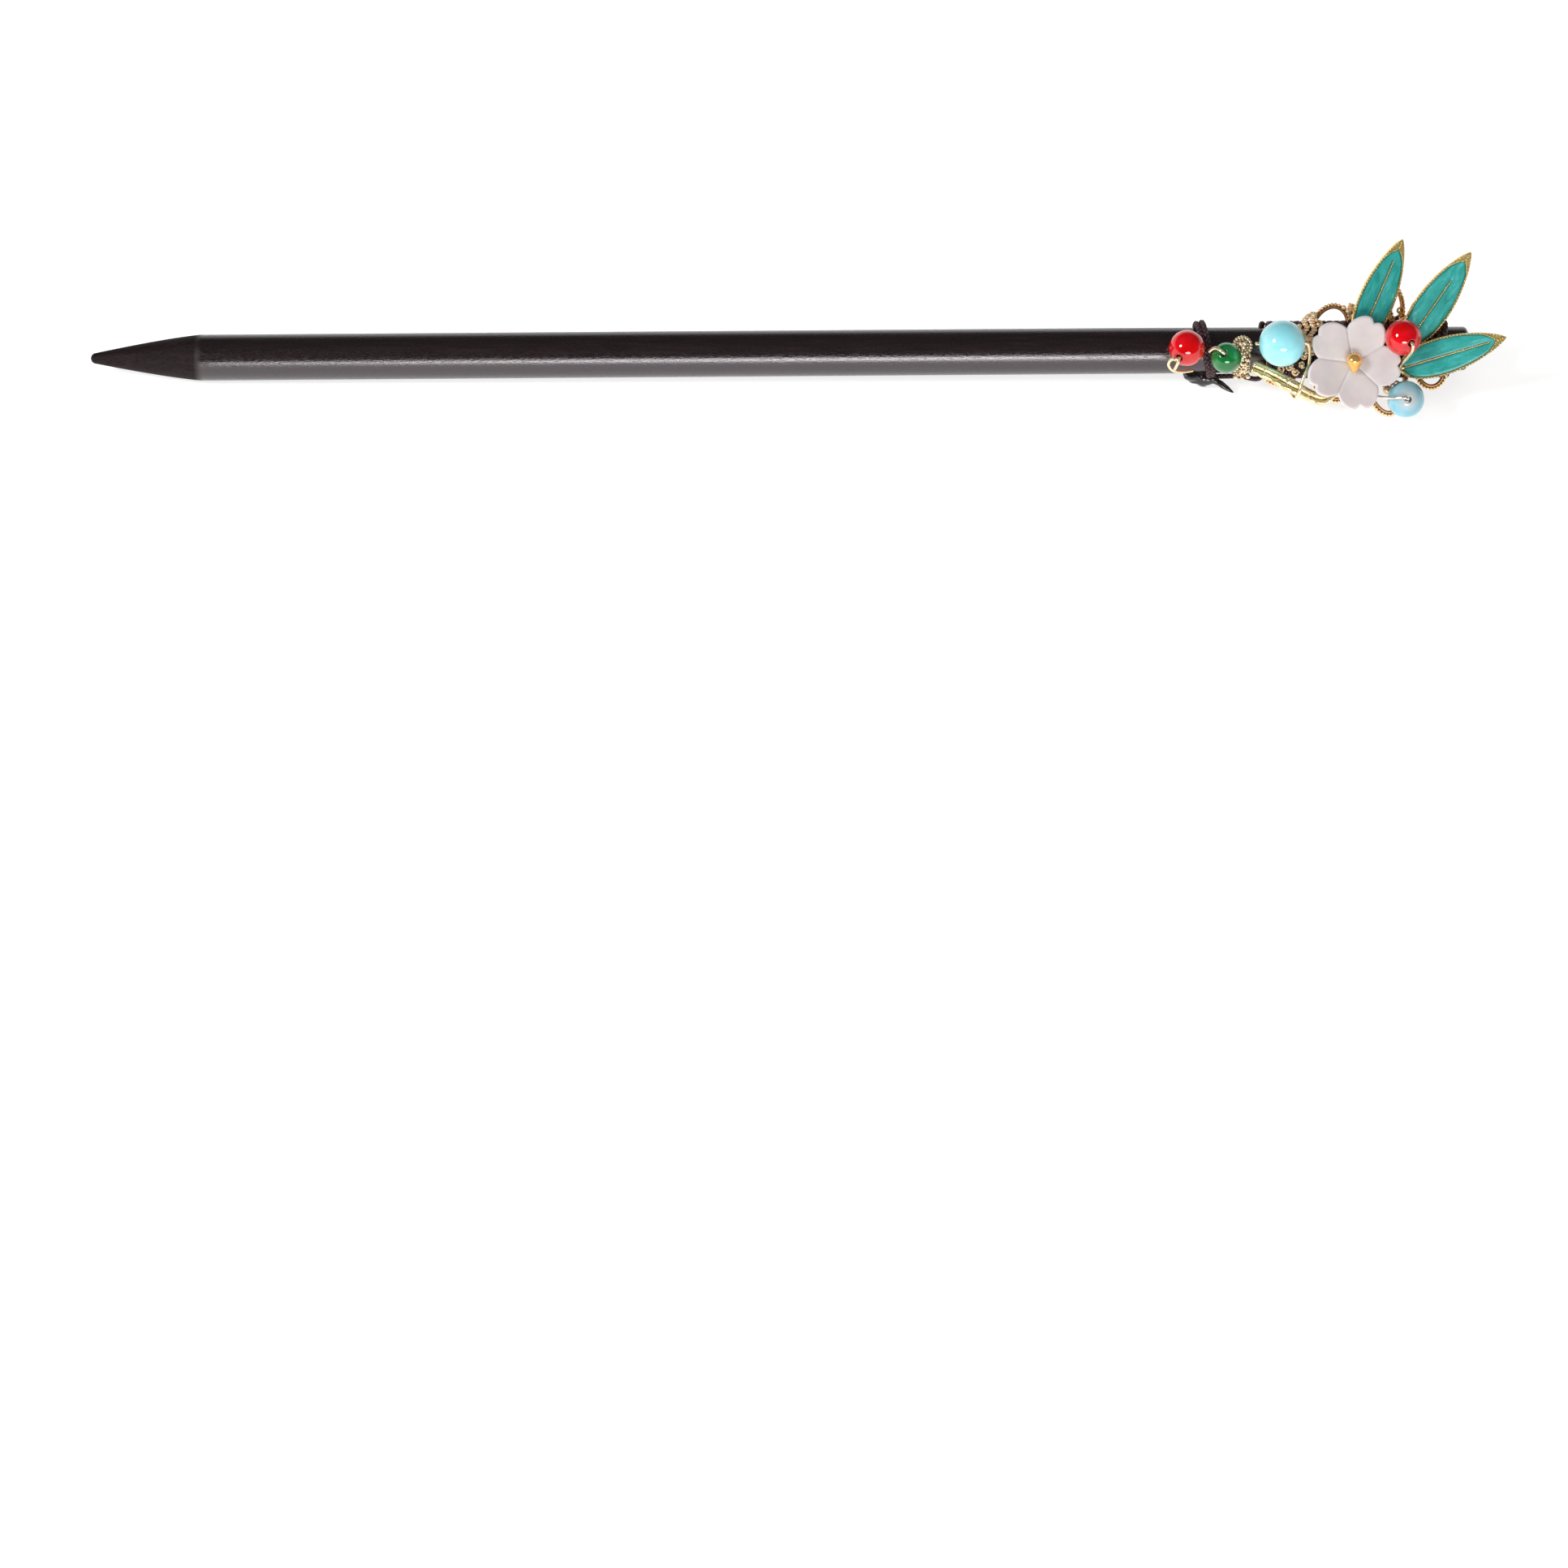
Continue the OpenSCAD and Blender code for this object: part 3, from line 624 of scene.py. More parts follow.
# Granulated ropes that climb from the loops over the turns, beside the turquoise bead, with
# places in millimetres
def bridge(part):
    low = wrapTop + 0.25
    ropes = [[(-20.9, 4.5, 3.6), (-21.3, 4.3, 4.5), (-21.9, 3.6, low), (-21.5, 2.8, low + 0.1),
              (-22, 2, low), (-21.4, 1.2, low + 0.1), (-21.9, 0.4, low), (-21.4, -0.4, low)],
             [(-20.6, 4.7, 3.6), (-20.5, 4.3, 4.5), (-20.9, 3.4, low + 0.1), (-20.5, 2.6, low),
              (-21.1, 1.8, low + 0.1), (-20.8, 1, low), (-21.2, 0.2, low + 0.1),
              (-20.9, -0.6, low)]]
    for rope in ropes:
        path = smoothPath(rope, 6)
        join(part, sweep(evenPath(path, 0.25), 0.24, 8))
        for across, up in ((0.2, 0.2), (-0.2, 0.18), (0, 0.3)):
            beadRow(part, [p + Vector((across, 0, up)) for p in path], 0.4, 0.21, 2)
    for x, y, size in ((-22.5, 3, 0.33), (-22.3, 2.4, 0.3), (-21.7, 3.9, 0.26),
                       (-21.6, 1.6, 0.24), (-21.2, 0.7, 0.26), (-20.7, 3, 0.24),
                       (-20.3, 3.8, 0.26), (-20.8, -0.2, 0.24)):
        join(part, ball(size, (x, y, low + 0.42), 12, 8), 2)
    curl(part, -19.9, 3.4, low, 0.45, 200, 1)
    curl(part, -21.9, -0.9, low, 0.42, 60, -1)


# Small scrolls that fill the openings beside the stick: x, y, height over the plate's
# middle or over the turns, size, start, way round
def scrolls(part):
    mid, onTop = plateMid, wrapTop + 0.25
    rows = [(-24.9, -2.5, onTop, 0.55, 200, 1), (-23.8, -2.2, onTop, 0.5, 20, -1),
            (-22.9, -2.9, onTop, 0.5, 120, 1), (-22.1, -1.9, onTop, 0.45, 300, -1),
            (-20.9, -3.4, onTop, 0.45, 60, 1), (-19.7, -4.9, mid + 0.3, 0.5, 60, 1),
            (-9.3, 4.9, mid + 0.35, 0.6, 250, 1), (-8.7, 3.8, mid + 0.75, 0.5, 40, -1),
            (-10.4, 4, mid + 0.6, 0.5, 120, 1), (-4.1, 3.4, mid + 0.6, 0.5, 100, 1),
            (-4.9, 4.1, mid + 0.3, 0.45, 10, -1), (-9.7, -4.6, mid + 0.2, 0.5, 300, 1),
            (-15.9, 4.9, mid + 0.35, 0.5, 0, 1), (-24.9, -4.1, mid, 0.45, 90, 1)]
    for x, y, z, size, start, way in rows:
        curl(part, x, y, z, size, start, way, 3 if -11 < x < -8 and y > 0 else 2)
    for x, y, z, size in ((-20.5, -4.45, mid + 0.75, 0.36), (-16.6, 5.4, mid + 0.4, 0.34),
                          (-15.8, 5.7, mid + 0.4, 0.3), (-16, 4.9, mid + 0.5, 0.32)):
        join(part, ball(size, (x, y, z), 12, 8), 2)


bronzeBar = castMetal("bronzeBar", "#f2b884", "#d69a64", "#7a4624", 0.28)
bronzeGrain = castMetal("bronzeGrain", "#ffeac4", "#f8d09a", "#c48a58", 0.18, metal=0.65)
scrollGold = castMetal("scrollGold", "#fff0d0", "#ffdcae", "#f4c498", 0.22, metal=0.5)
amberGold = castMetal("amberGold", "#ffd890", "#f6b85e", "#b8701c", 0.15, hammer=0.3,
                      reach=0.0008, metal=0.65)
finishPiece("filigree", platePart(), [bronzeBar, bronzeGrain, scrollGold, amberGold],
            ["filigree_plate"], 50)
print("filigree soldered")


# Rosette: a granulated cap on the front of the stick, its tail bent round the side
rosettePiece = {"width": 2.5, "gap": 1.2, "turn": 80, "tailGrains": 110}
rosetteX = wrapStartX - rosettePiece["gap"] - rosettePiece["width"] / 2


def rosettePart():
    size = rosettePiece["width"] / 2
    part = bmesh.new()
    cap = [(0, 0.3), (size * 0.55, 0.3), (size * 0.75, 0.24), (size * 0.92, 0.14), (size, 0),
           (size, -0.15), (0, -0.15)]
    top = turned(cap, 32)
    # Rings of grains on the cap: count, reach, height, size
    for count, reach, height, grain in ((3, 0.3, 0.56, 0.34), (10, 0.68, 0.36, 0.17),
                                        (17, 1.04, 0.24, 0.23), (20, 1.22, 0.02, 0.17)):
        for k in range(count):
            join(top, ball(grain, (*onCircle(reach, 360 * (k + 0.3) / count), height)))
    top.transform(Matrix.Rotation(math.radians(rosettePiece["turn"]), 4, "X")
                  @ Matrix.Translation((0, onStick + 0.1, 0))
                  @ Matrix.Rotation(-math.pi / 2, 4, "X"))
    join(part, top)
    dice = random.Random(11)
    for k in range(rosettePiece["tailGrains"]):
        degrees = dice.uniform(98, 160)
        across = dice.uniform(-0.95, 0.95)
        high = onStick + 0.25 + 0.3 * math.cos(across * 1.3) + dice.uniform(-0.05, 0.1)
        join(part, ball(dice.uniform(0.13, 0.26), (across, *onCircle(high, degrees)), 8, 6))
    arc = [Vector((0, *onCircle(onStick + 0.22, a))) for a in range(80, 163, 4)]
    join(part, sweep(arc, 0.24, 8, (1, 0, 0), 3.4))
    for side in (-1, 1):
        edge = [p + Vector((side * 0.92, 0, 0)) for p in arc]
        beadRow(part, edge, 0.36, 0.17)
    for x, y, z in ((-0.75, -3.5, 1.7), (0.1, -3.65, 1.5), (0.85, -3.45, 1.8)):
        join(part, ball(0.33, (x, y, z), 12, 8))
    part.transform(Matrix.Translation((rosetteX, 0, 0)))
    return part


paleGold = castMetal("paleGold", "#fff0d2", "#f0dab4", "#a88658", 0.2, hammer=0.5, metal=0.62)
finishPiece("rosetteCap", rosettePart(), [paleGold], ["rosette"], 60)
print("rosette granulated")


# Beads; "across", "gap", "out" and "lift" place them against the piece they lie beside
beadPiece = {"red": 4.4, "green": 4, "turquoise": 6, "blue": 4.6, "bore": 0.9, "lip": 0.09,
             "redSwell": 1.06, "blueSwell": 1.04,      # as the photograph has them
             "redAcross": 0.3, "greenAcross": -1, "greenGap": 0.3,
             "turquoiseAcross": 0.8, "turquoiseGap": 0.4,
             "redTwoAcross": 1.45, "redTwoGap": 0.28, "redTwoLift": 0.62,
             "blueGap": 0.95, "blueOut": 0.43}
redRadius, greenRadius = beadPiece["red"] / 2, beadPiece["green"] / 2
turquoiseRadius, blueRadius = beadPiece["turquoise"] / 2, beadPiece["blue"] / 2
drawnRed, drawnBlue = redRadius * beadPiece["redSwell"], blueRadius * beadPiece["blueSwell"]
redOneX = bandX - redRadius - 0.36 * cordPiece["bandThick"] + 0.12
greenX = rosetteX - greenRadius - beadPiece["greenGap"]
turquoiseX = (rosetteX + rosettePiece["width"] / 2 + turquoiseRadius
              + beadPiece["turquoiseGap"])


# Glass of a bead: its colour clouds a little and shades from the mouth of the hole outwards, as
# painted shade of the bore on the red, green and turquoise beads and as milky glass on the blue one
def beadGlass(name, deep, middle, pale, mouth, mouthShare, spread=0.5, bloom=0.0,
              bloomTint="#ffffff"):
    finish, tree, shader = newFinish(name, middle, Roughness=0.07, IOR=1.54,
                                     Coat_Weight=0.5, Coat_Roughness=0.03,
                                     Sheen_Weight=bloom, Sheen_Roughness=0.3,
                                     Sheen_Tint=colour(bloomTint))
    cloud = noiseOf(tree, coords(tree), 380, 3, 0.55, 0.6)
    base = rampOf(tree, cloud, [(0.34, deep), (0.52, middle), (0.76, pale)])
    # painted shade around the hole's mouth, except on the blue bead, whose pale mouth colour is its
    # own milky glass
    share = rangeOf(tree, attributeOf(tree, "holeGap"), 0.25, 0.25 + spread, mouthShare, 0.0)
    plug(tree, shader, Base_Color=mixOf(tree, share, base, colour(mouth)))
    return finish


def beadPart(radius):
    bore, lip = beadPiece["bore"] / 2, beadPiece["lip"]
    start = math.degrees(math.asin((bore + lip) / radius))
    rim = radius * math.cos(math.radians(start))
    rows = 40
    outline = [onCircle(radius, 90 - start - (180 - 2 * start) * k / rows)
               for k in range(rows + 1)]
    outline += [(bore + 0.02, -rim + lip * 0.3), (bore, -rim + lip * 1.4)]
    outline += [(bore, -rim * 0.4), (bore, rim * 0.4)]
    outline += [(bore, rim - lip * 1.4), (bore + 0.02, rim - lip * 0.3)]
    part = turned(outline, 64, closed=True)
    gapLayer = part.verts.layers.float.new("holeGap")
    for vert in part.verts:      # how far round the bead from the mouth, in radians
        vert[gapLayer] = math.asin(min(1, math.hypot(vert.co.x, vert.co.y) / radius))
    return part


def stringBead(name, node, at, radius, hole, finish):
    finishPiece(name, beadPart(radius), [finish], [node], 60,
                Matrix.Translation(at) @ aim(hole))


redGlass = beadGlass("redGlass", "#d40006", "#e6000c", "#ee1026", "#b40008", 0.6,
                     bloom=0.25, bloomTint="#ff4a48")
greenGlass = beadGlass("greenGlass", "#0a6a2c", "#12803a", "#3aa468", "#0a5628", 0.5,
                       bloom=0.2, bloomTint="#b4ecc8")
turquoise = beadGlass("turquoise", "#9aeefa", "#a8f2fb", "#c0f8fd", "#7cd6e6", 0.4)
redOneAt = Vector((redOneX, beadPiece["redAcross"], onStick + drawnRed + fit))
greenAt = Vector((greenX, beadPiece["greenAcross"], onStick + greenRadius))
turquoiseAt = Vector((turquoiseX, beadPiece["turquoiseAcross"],
                      wrapTop + fit + turquoiseRadius))
redOneHole = Vector((-0.5, -0.55, 0.67)).normalized()
greenHole = Vector((-0.25, 0.3, 0.92)).normalized()
turquoiseHole = Vector((1, 0, 0.12)).normalized()
stringBead("redBead1", "red_bead_1", redOneAt, drawnRed, redOneHole, redGlass)
stringBead("greenBead", "green_bead", greenAt, greenRadius, greenHole, greenGlass)
stringBead("turquoiseBead", "turquoise_bead", turquoiseAt, turquoiseRadius, turquoiseHole,
           turquoise)
print("beads strung along the stick")


# Flower and leaves
flowerPiece = {"diameter": 12.1, "thick": 0.95, "bowl": 26, "petalShare": 0.415,
               "turn": 64.5, "across": -1.7, "notch": 0.6, "dropWidth": 2.1, "swell": 1.05,
               "beside": 0.15, "lift": 0.95}
wirePiece = {"thick": 0.42}      # bends round the beads, and pins the flower
leafPiece = {"length": 14.3, "width": 4.9, "thick": 0.9, "rim": 0.21, "cellDepth": 0.35,
             "vein": 0.15, "grain": 0.23, "grainPitch": 0.42}
# Leaves: root from the flower's heart in flower radii, across in stick radii, gap over the
# cord, heading, rise, roll
leafRows = [(0.165, 0.3, 0.25, 67.4, 3, 14), (1.19, 0.2, 0.15, 55.5, 4, 10),
            (1.025, -0.87, 0.2, 16.7, 12.5, 0)]
cellShares = (0.04, 0.895)         # where the enamel begins and ends along a leaf
veinEnds = (0.78, 0.68, 0.84)      # where the beaded vein fades out on each leaf
wireRadius = wirePiece["thick"] / 2
flowerRadius = flowerPiece["diameter"] / 2
flowerX = turquoiseX + turquoiseRadius + flowerRadius + flowerPiece["beside"]
flowerZ = wrapTop + leafPiece["thick"] + flowerPiece["lift"]


def tealEnamel():
    finish, tree, shader = newFinish("tealEnamel", "#2ca199", Roughness=0.32, IOR=1.5,
                                     Coat_Weight=0.2, Coat_Roughness=0.15)
    cloud = noiseOf(tree, coords(tree, "UV", (0.3, 1, 1)), 1.2, 6, 0.66, 0.9)
    specks = noiseOf(tree, coords(tree, "UV", (0.5, 1, 1)), 6.5, 3, 0.6)
    base = rampOf(tree, cloud, [(0.3, "#178479"), (0.46, "#279d95"), (0.6, "#3aada6"),
                                (0.78, "#7fd2cc")])
    # painted highlights: light specks added to the enamel's colour
    light = rampOf(tree, specks, [(0.58, "#000000"), (0.76, "#5fa8a4")])
    body = mixOf(tree, 0.5, base, light, "ADD")
    # painted shade: the enamel darkens along its edges, in the crease beside the rim and the vein
    rim = rangeOf(tree, attributeOf(tree, "edgeGap"), 0.0, 0.3, 0.8, 0.0)
    plug(tree, shader, Base_Color=mixOf(tree, rim, body, colour("#14685f")),
         Normal=bumpOf(tree, cloud, 0.0001, 0.4))
    return finish


def frostedPetal():
    finish, tree, shader = newFinish("frostedPetal", "#cbc3c3", Roughness=0.5, IOR=1.45,
                                     Subsurface_Weight=0.3, Subsurface_Scale=0.0015)
    cloud = noiseOf(tree, coords(tree), 260, 4, 0.55)
    base = rampOf(tree, cloud, [(0.3, "#cec6c6"), (0.7, "#ded6d4")])
    rim = attributeOf(tree, "edgeGap")
    # painted light: the petals turn paler towards their thin edges, where light shows through
    body = mixOf(tree, rangeOf(tree, rim, 0.0, 0.3, 0.7, 0.0), base, colour("#f0ebec"))
    heart = rangeOf(tree, rim, 3.6, 5.6, 0.0, 0.5)
    frost = noiseOf(tree, coords(tree), 9000, 2, 0.5)
    plug(tree, shader, Base_Color=mixOf(tree, heart, body, colour("#dcc7b4")),
         Normal=bumpOf(tree, frost, 0.00001, 0.4))
    return finish


# Half the leaf's width at a share of its length
def leafHalf(t):
    widest = 0.4206      # the most that the roots and powers below come to
    return leafPiece["width"] / 2 * math.sqrt(t) * (1 - t) ** 0.8 / widest


def onLeaf(t, across, up):
    return Vector((t * leafPiece["length"], across, up))


def leafPlace(row):
    out, across, gap, heading, rise, roll = row
    place = Vector((flowerX + out * flowerRadius, across * stickRadius,
                    wrapTop + leafPiece["thick"] + gap))
    turn = (Matrix.Rotation(math.radians(heading), 4, "Z")
            @ Matrix.Rotation(math.radians(-rise), 4, "Y")
            @ Matrix.Rotation(math.radians(roll), 4, "X"))
    return Matrix.Translation(place) @ turn


# The cell follows the outline inside the rim, and closes in a rounded point at the tip
def cellHalf(t):
    fullFrom, fullTo = 0.1, 0.79
    closing = max(0, (t - fullTo) / (cellShares[1] - fullTo))
    opening = max(0, (fullFrom - t) / (fullFrom - cellShares[0]))
    shape = math.sqrt(max(0, 1 - closing ** 1.6)) * math.sqrt(max(0, 1 - opening ** 2))
    return (leafHalf(t) - leafPiece["rim"]) * (0.02 + 0.98 * shape)


# A share along the cell, with its rows closer towards both ends
def cellAt(degrees):
    return cellShares[0] + (cellShares[1] - cellShares[0]) * (1 - onCircle(1, degrees)[0]) / 2


def leafShares():
    return [0, 0.006, 0.02, 0.03, *(cellAt(a) for a in range(0, 181, 5)),
            0.915, 0.94, 0.965, 0.985, 1]


def leafColumns(t):
    half = max(leafHalf(t), 0.3 if t < 0.02 else 0)
    if cellShares[0] <= t <= cellShares[1]:
        inside = cellHalf(t)
    else:
        inside = min(leafPiece["rim"] * 0.2, half * 0.1)
    right = [inside * 0.34, inside * 0.67, inside, half - min(leafPiece["rim"], half - inside) * 0.4,
             half]
    return [-y for y in reversed(right)] + [0] + right


def leafPart(number):
    v = leafPiece
    shares = leafShares()
    part = bmesh.new()
    rowLayer = part.verts.layers.int.new("rowNumber")
    columnLayer = part.verts.layers.int.new("columnNumber")
    for vert, (i, j) in countedGrid(part, len(shares) - 1, 10).items():
        vert[rowLayer], vert[columnLayer] = i, j
        vert.co = onLeaf(shares[i], leafColumns(shares[i])[j], 0)
    back = extruded(part, part.faces[:])
    edge = v["thick"] / 2
    backRadius = ((v["width"] / 2) ** 2 + edge ** 2) / (2 * edge)
    longRadius = (v["length"] / 2) ** 2 / v["thick"]
    for vert in back:
        across = backRadius - math.sqrt(backRadius ** 2 - vert.co.y ** 2)
        lengthways = longRadius - math.sqrt(longRadius ** 2 - (vert.co.x - v["length"] * 0.45) ** 2)
        vert.co.z = min(-0.12, -v["thick"] + across + lengthways * 0.8)
    cells = []
    first, last = shares.index(cellShares[0]), len(shares) - 6      # the rows of the cell
    for face in part.faces:
        rows = {vert[rowLayer] for vert in face.verts}
        places = {vert[columnLayer] for vert in face.verts}
        within = first <= min(rows) and max(rows) <= last and 2 <= min(places) and max(places) <= 8
        if within and back.isdisjoint(face.verts):
            cells.append(face)
        face.material_index = 1 if back.issuperset(face.verts) else 0
    low = extruded(part, cells, keep=False)
    bmesh.ops.delete(part, geom=[f for f in cells if f.is_valid], context="FACES")
    bmesh.ops.translate(part, verts=list(low), vec=(0, 0, -v["cellDepth"]))
    mergeAndTurn(part)
    grain = v["grain"] / 2
    for side in (-1, 1):
        rim = [onLeaf(t, side * (leafHalf(t) - v["rim"] * 0.5), 0.03)
               for t in (0.02 + 0.93 * k / 60 for k in range(61))]
        beadRow(part, rim, v["grainPitch"], grain)
    vein = [onLeaf(t, 0, -0.07) for t in (0.01, 0.3, 0.6, veinEnds[number])]
    join(part, sweep(vein, [v["vein"] / 2, v["vein"] / 2, v["vein"] / 2, 0.03], 8))
    beadRow(part, [p + Vector((0, 0, 0.03)) for p in vein], v["grainPitch"] * 0.75,
            v["vein"] * 0.62)
    for side in (-1, 1):      # granules along the inner edge of the tip
        inner = [onLeaf(t, side * (cellHalf(t) + grain * 0.7), 0.02)
                 for t in (0.8 + 0.093 * k / 20 for k in range(21))]
        beadRow(part, inner, v["grain"] * 1.15, grain * 0.9)
    for t in (0.922, 0.944, 0.964):
        join(part, ball(grain * 1.2, onLeaf(t, 0, 0.02), 8, 6))
    return part


# The enamel fills the leaf up to its rim, and lies lower beside the rim and the vein
def leafCell(number):
    v = leafPiece
    part = bmesh.new()
    long, wide = 48, 24
    mapLayer = part.loops.layers.uv.new("UVMap")
    gapLayer = part.verts.layers.float.new("edgeGap")
    spots = {}
    for vert, (i, j) in countedGrid(part, long, wide).items():
        t = cellAt(180 * i / long)
        half = cellHalf(t) + v["rim"] * 0.08
        side = 2 * j / wide - 1
        y = half * side * (0.6 + 0.4 * abs(side))      # closer rows beside the vein
        ends = min(t - cellShares[0], cellShares[1] - t) * v["length"]
        pastVein = max(0, t - veinEnds[number]) * v["length"]
        vert[gapLayer] = max(0, min(half - abs(y), math.hypot(y, pastVein) - 0.05, ends + 0.05))
        dome = min(1, vert[gapLayer] / 0.4)
        spots[vert] = (t * v["length"] + 31.7 * number, y)
        vert.co = onLeaf(t, y, -0.15 + 0.11 * math.sqrt(dome * (2 - dome)))
    for face in part.faces:
        for loop in face.loops:
            loop[mapLayer].uv = spots[loop.vert]
    for vert in extruded(part, part.faces[:]):
        vert.co.z = fit - v["cellDepth"]
        vert[gapLayer] = 0
    mergeAndTurn(part)
    return part


# The third leaf's root is tied with crossed bars
def rootCross():
    part = bmesh.new()
    for a, b in (((-0.5, 0.5, 0.1), (0.9, -1.1, 0.1)), ((-0.6, -0.5, 0.15), (0.7, 0.9, 0.1)),
                 ((-0.9, 0, -0.1), (0.6, 0, 0.2))):
        middle = (Vector(a) + Vector(b)) / 2 + Vector((0, 0, 0.1))
        join(part, sweep([a, middle, b], 0.19, 8))
    return part


leafGold = castMetal("leafGold", "#ffeaa6", "#ecca78", "#7c6028", 0.2)
leafBack = castMetal("leafBack", "#d6c168", "#c8b058", "#9c8238", 0.13, hammer=0.8, reach=0.001,
                     metal=0.95, dentScale=420, dentDepth=0.0003)
enamelFinish = tealEnamel()
for number, row in enumerate(leafRows):
    where = leafPlace(row)
    leaf = leafPart(number)
    if number == 2:
        join(leaf, rootCross())
    finishPiece(f"leaf{number + 1}", leaf, [leafGold, leafBack], [f"leaf_{number + 1}"],
                40, where)
    finishPiece(f"enamel{number + 1}", leafCell(number), [enamelFinish],
                [f"enamel_{number + 1}"], 50, where)
print("leaves enamelled")


# How far the edge stands from the flower's middle, and the angle from the petal's own middle
def petalEdge(degrees):
    v = flowerPiece
    size = v["petalShare"] * flowerRadius
    number = round((degrees - v["turn"]) / 72)
    away = (degrees - v["turn"]) - 72 * number
    out, aside = onCircle(flowerRadius - size, away)
    reach = out + math.sqrt(size ** 2 - aside ** 2)
    # Each petal's notch: degrees beside its middle, and depth
    shift, deep = [(-2.5, 1.0), (5, 0.85), (3, 0.95), (-2, 1.1), (3, 0.9)][number % 5]
    return reach - v["notch"] * deep * math.exp(-(abs(away - shift) / 4.6) ** 1.5), away


def flowerPart():
    v = flowerPiece
    around, outward = 240, 22
    part = bmesh.new()
    gapLayer = part.verts.layers.float.new("edgeGap")
    start = beadPiece["bore"] / 2
    for vert, (i, j) in countedGrid(part, around, outward).items():
        degrees = 360 * i / around
        edge = petalEdge(degrees)[0]
        reach = start + (edge - start) * (1 - (1 - j / outward) ** 1.7)
        vert.co = (*onCircle(reach, degrees), 0)
        vert[gapLayer] = edge - reach
    bmesh.ops.remove_doubles(part, verts=part.verts, dist=mergeGap)
    low = extruded(part, part.faces[:])
    outer = v["bowl"] + v["thick"]
    for vert in part.verts:
        reach = math.hypot(vert.co.x, vert.co.y)
        away = petalEdge(math.degrees(math.atan2(vert.co.y, vert.co.x)))[1]
        middle = outer - math.sqrt((v["bowl"] + v["thick"] / 2) ** 2 - reach ** 2)
        inward = min(1, vert[gapLayer] / 0.36)      # 0 at the edge, 1 where it is full
        half = 0.15 + (v["thick"] / 2 - 0.15) * math.sqrt(inward * (2 - inward))
        if vert in low:
            vert.co.z = middle - half
            continue
        seam = (36 - abs(away)) / 57.3 * reach     # millimetres from the line between petals
        groove = 0.11 * math.exp(-(seam / 0.13) ** 2) + 0.07 * math.exp(-seam / 0.6)
        lift = 0.06 * math.cos(math.radians(away) * 2.4) * min(1, reach / 3)
        vert.co.z = middle + half - groove + lift * inward
    bmesh.ops.recalc_face_normals(part, faces=part.faces)
    part.transform(Matrix.Diagonal((v["swell"], v["swell"], 1, 1)))
    return part


# The drop lies with its round end up the flower and its point towards the near side
def dropPart():
    width = flowerPiece["dropWidth"]
    outline = [onCircle(width / 2, 90 - degrees) for degrees in range(0, 100, 8)]
    last = outline[-1]
    outline += [(last[0] * (1 - share) ** 0.62, last[1] - share * width * 0.7)
                for share in (0.08, 0.16, 0.25, 0.35, 0.45, 0.55, 0.65, 0.75, 0.84, 0.92, 1)]
    part = turned(outline, 48)
    top = flowerPiece["thick"] + fit
    for vert in part.verts:
        vert.co.y = min(vert.co.y, width * 0.3)
    part.transform(Matrix.Translation((0.05, width * 0.1, top + width * 0.34))
                   @ Matrix.Rotation(-math.pi / 2, 4, "X"))
    return part


def pinPart():
    top = flowerPiece["thick"] + fit
    low = fit - (flowerZ - wrapTop)
    part = dropPart()
    join(part, sweep([(0, 0, low + wireRadius), (0, 0, 0), (0, 0, top + 0.4)], wireRadius, 12))
    return part


atFlower = Matrix.Translation((flowerX, flowerPiece["across"], flowerZ))
finishPiece("flowerPetals", flowerPart(), [frostedPetal()], ["flower"], 60,
            atFlower)
finishPiece("flowerDrop", pinPart(), [amberGold], ["flower_pin"], 60, atFlower)
print("flower carved")


# Beads beside the flower
blueGlass = beadGlass("blueGlass", "#72bad0", "#8ac6d6", "#a8d4e0", "#ccd2d4", 0.9,
                      spread=0.62)
redTwoAt = Vector((flowerX + flowerRadius + beadPiece["redTwoGap"],
                   beadPiece["redTwoAcross"],
                   wrapTop + leafPiece["thick"] + redRadius + beadPiece["redTwoLift"]))
blueAt = Vector((flowerX + flowerRadius + beadPiece["blueGap"],
                 -(wrapOut + blueRadius + beadPiece["blueOut"]),
                 plateTop + fit + drawnBlue))
redTwoHole = Vector((0.36, -0.34, 0.87)).normalized()
blueHole = Vector((0, 0, 1))
stringBead("redBead2", "red_bead_2", redTwoAt, drawnRed, redTwoHole, redGlass)
stringBead("blueBead", "blue_bead", blueAt, drawnBlue, blueHole, blueGlass)
print("beads strung beside the flower")


# Twig: two bars side by side, the near one hammered
twigPiece = {"thick": 1.5, "over": 0.25}
# Places along and across as shares of the plate, and thickness as a share
twigRows = [(0.012, -0.26, 0.95), (0.1, -0.375, 1), (0.235, -0.585, 1), (0.315, -0.695, 0.95),
            (0.375, -0.735, 0.8), (0.464, -0.606, 0.3)]


def twigAt(row):
    y = row[1] * platePiece["width"] / 2
    over = abs(y) < wrapOut + twigPiece["thick"]
    z = (wrapTop + twigPiece["over"] if over else plateTop + fit) + twigPiece["thick"] / 2
    return Vector((plateX + row[0] * platePiece["length"], y, z))


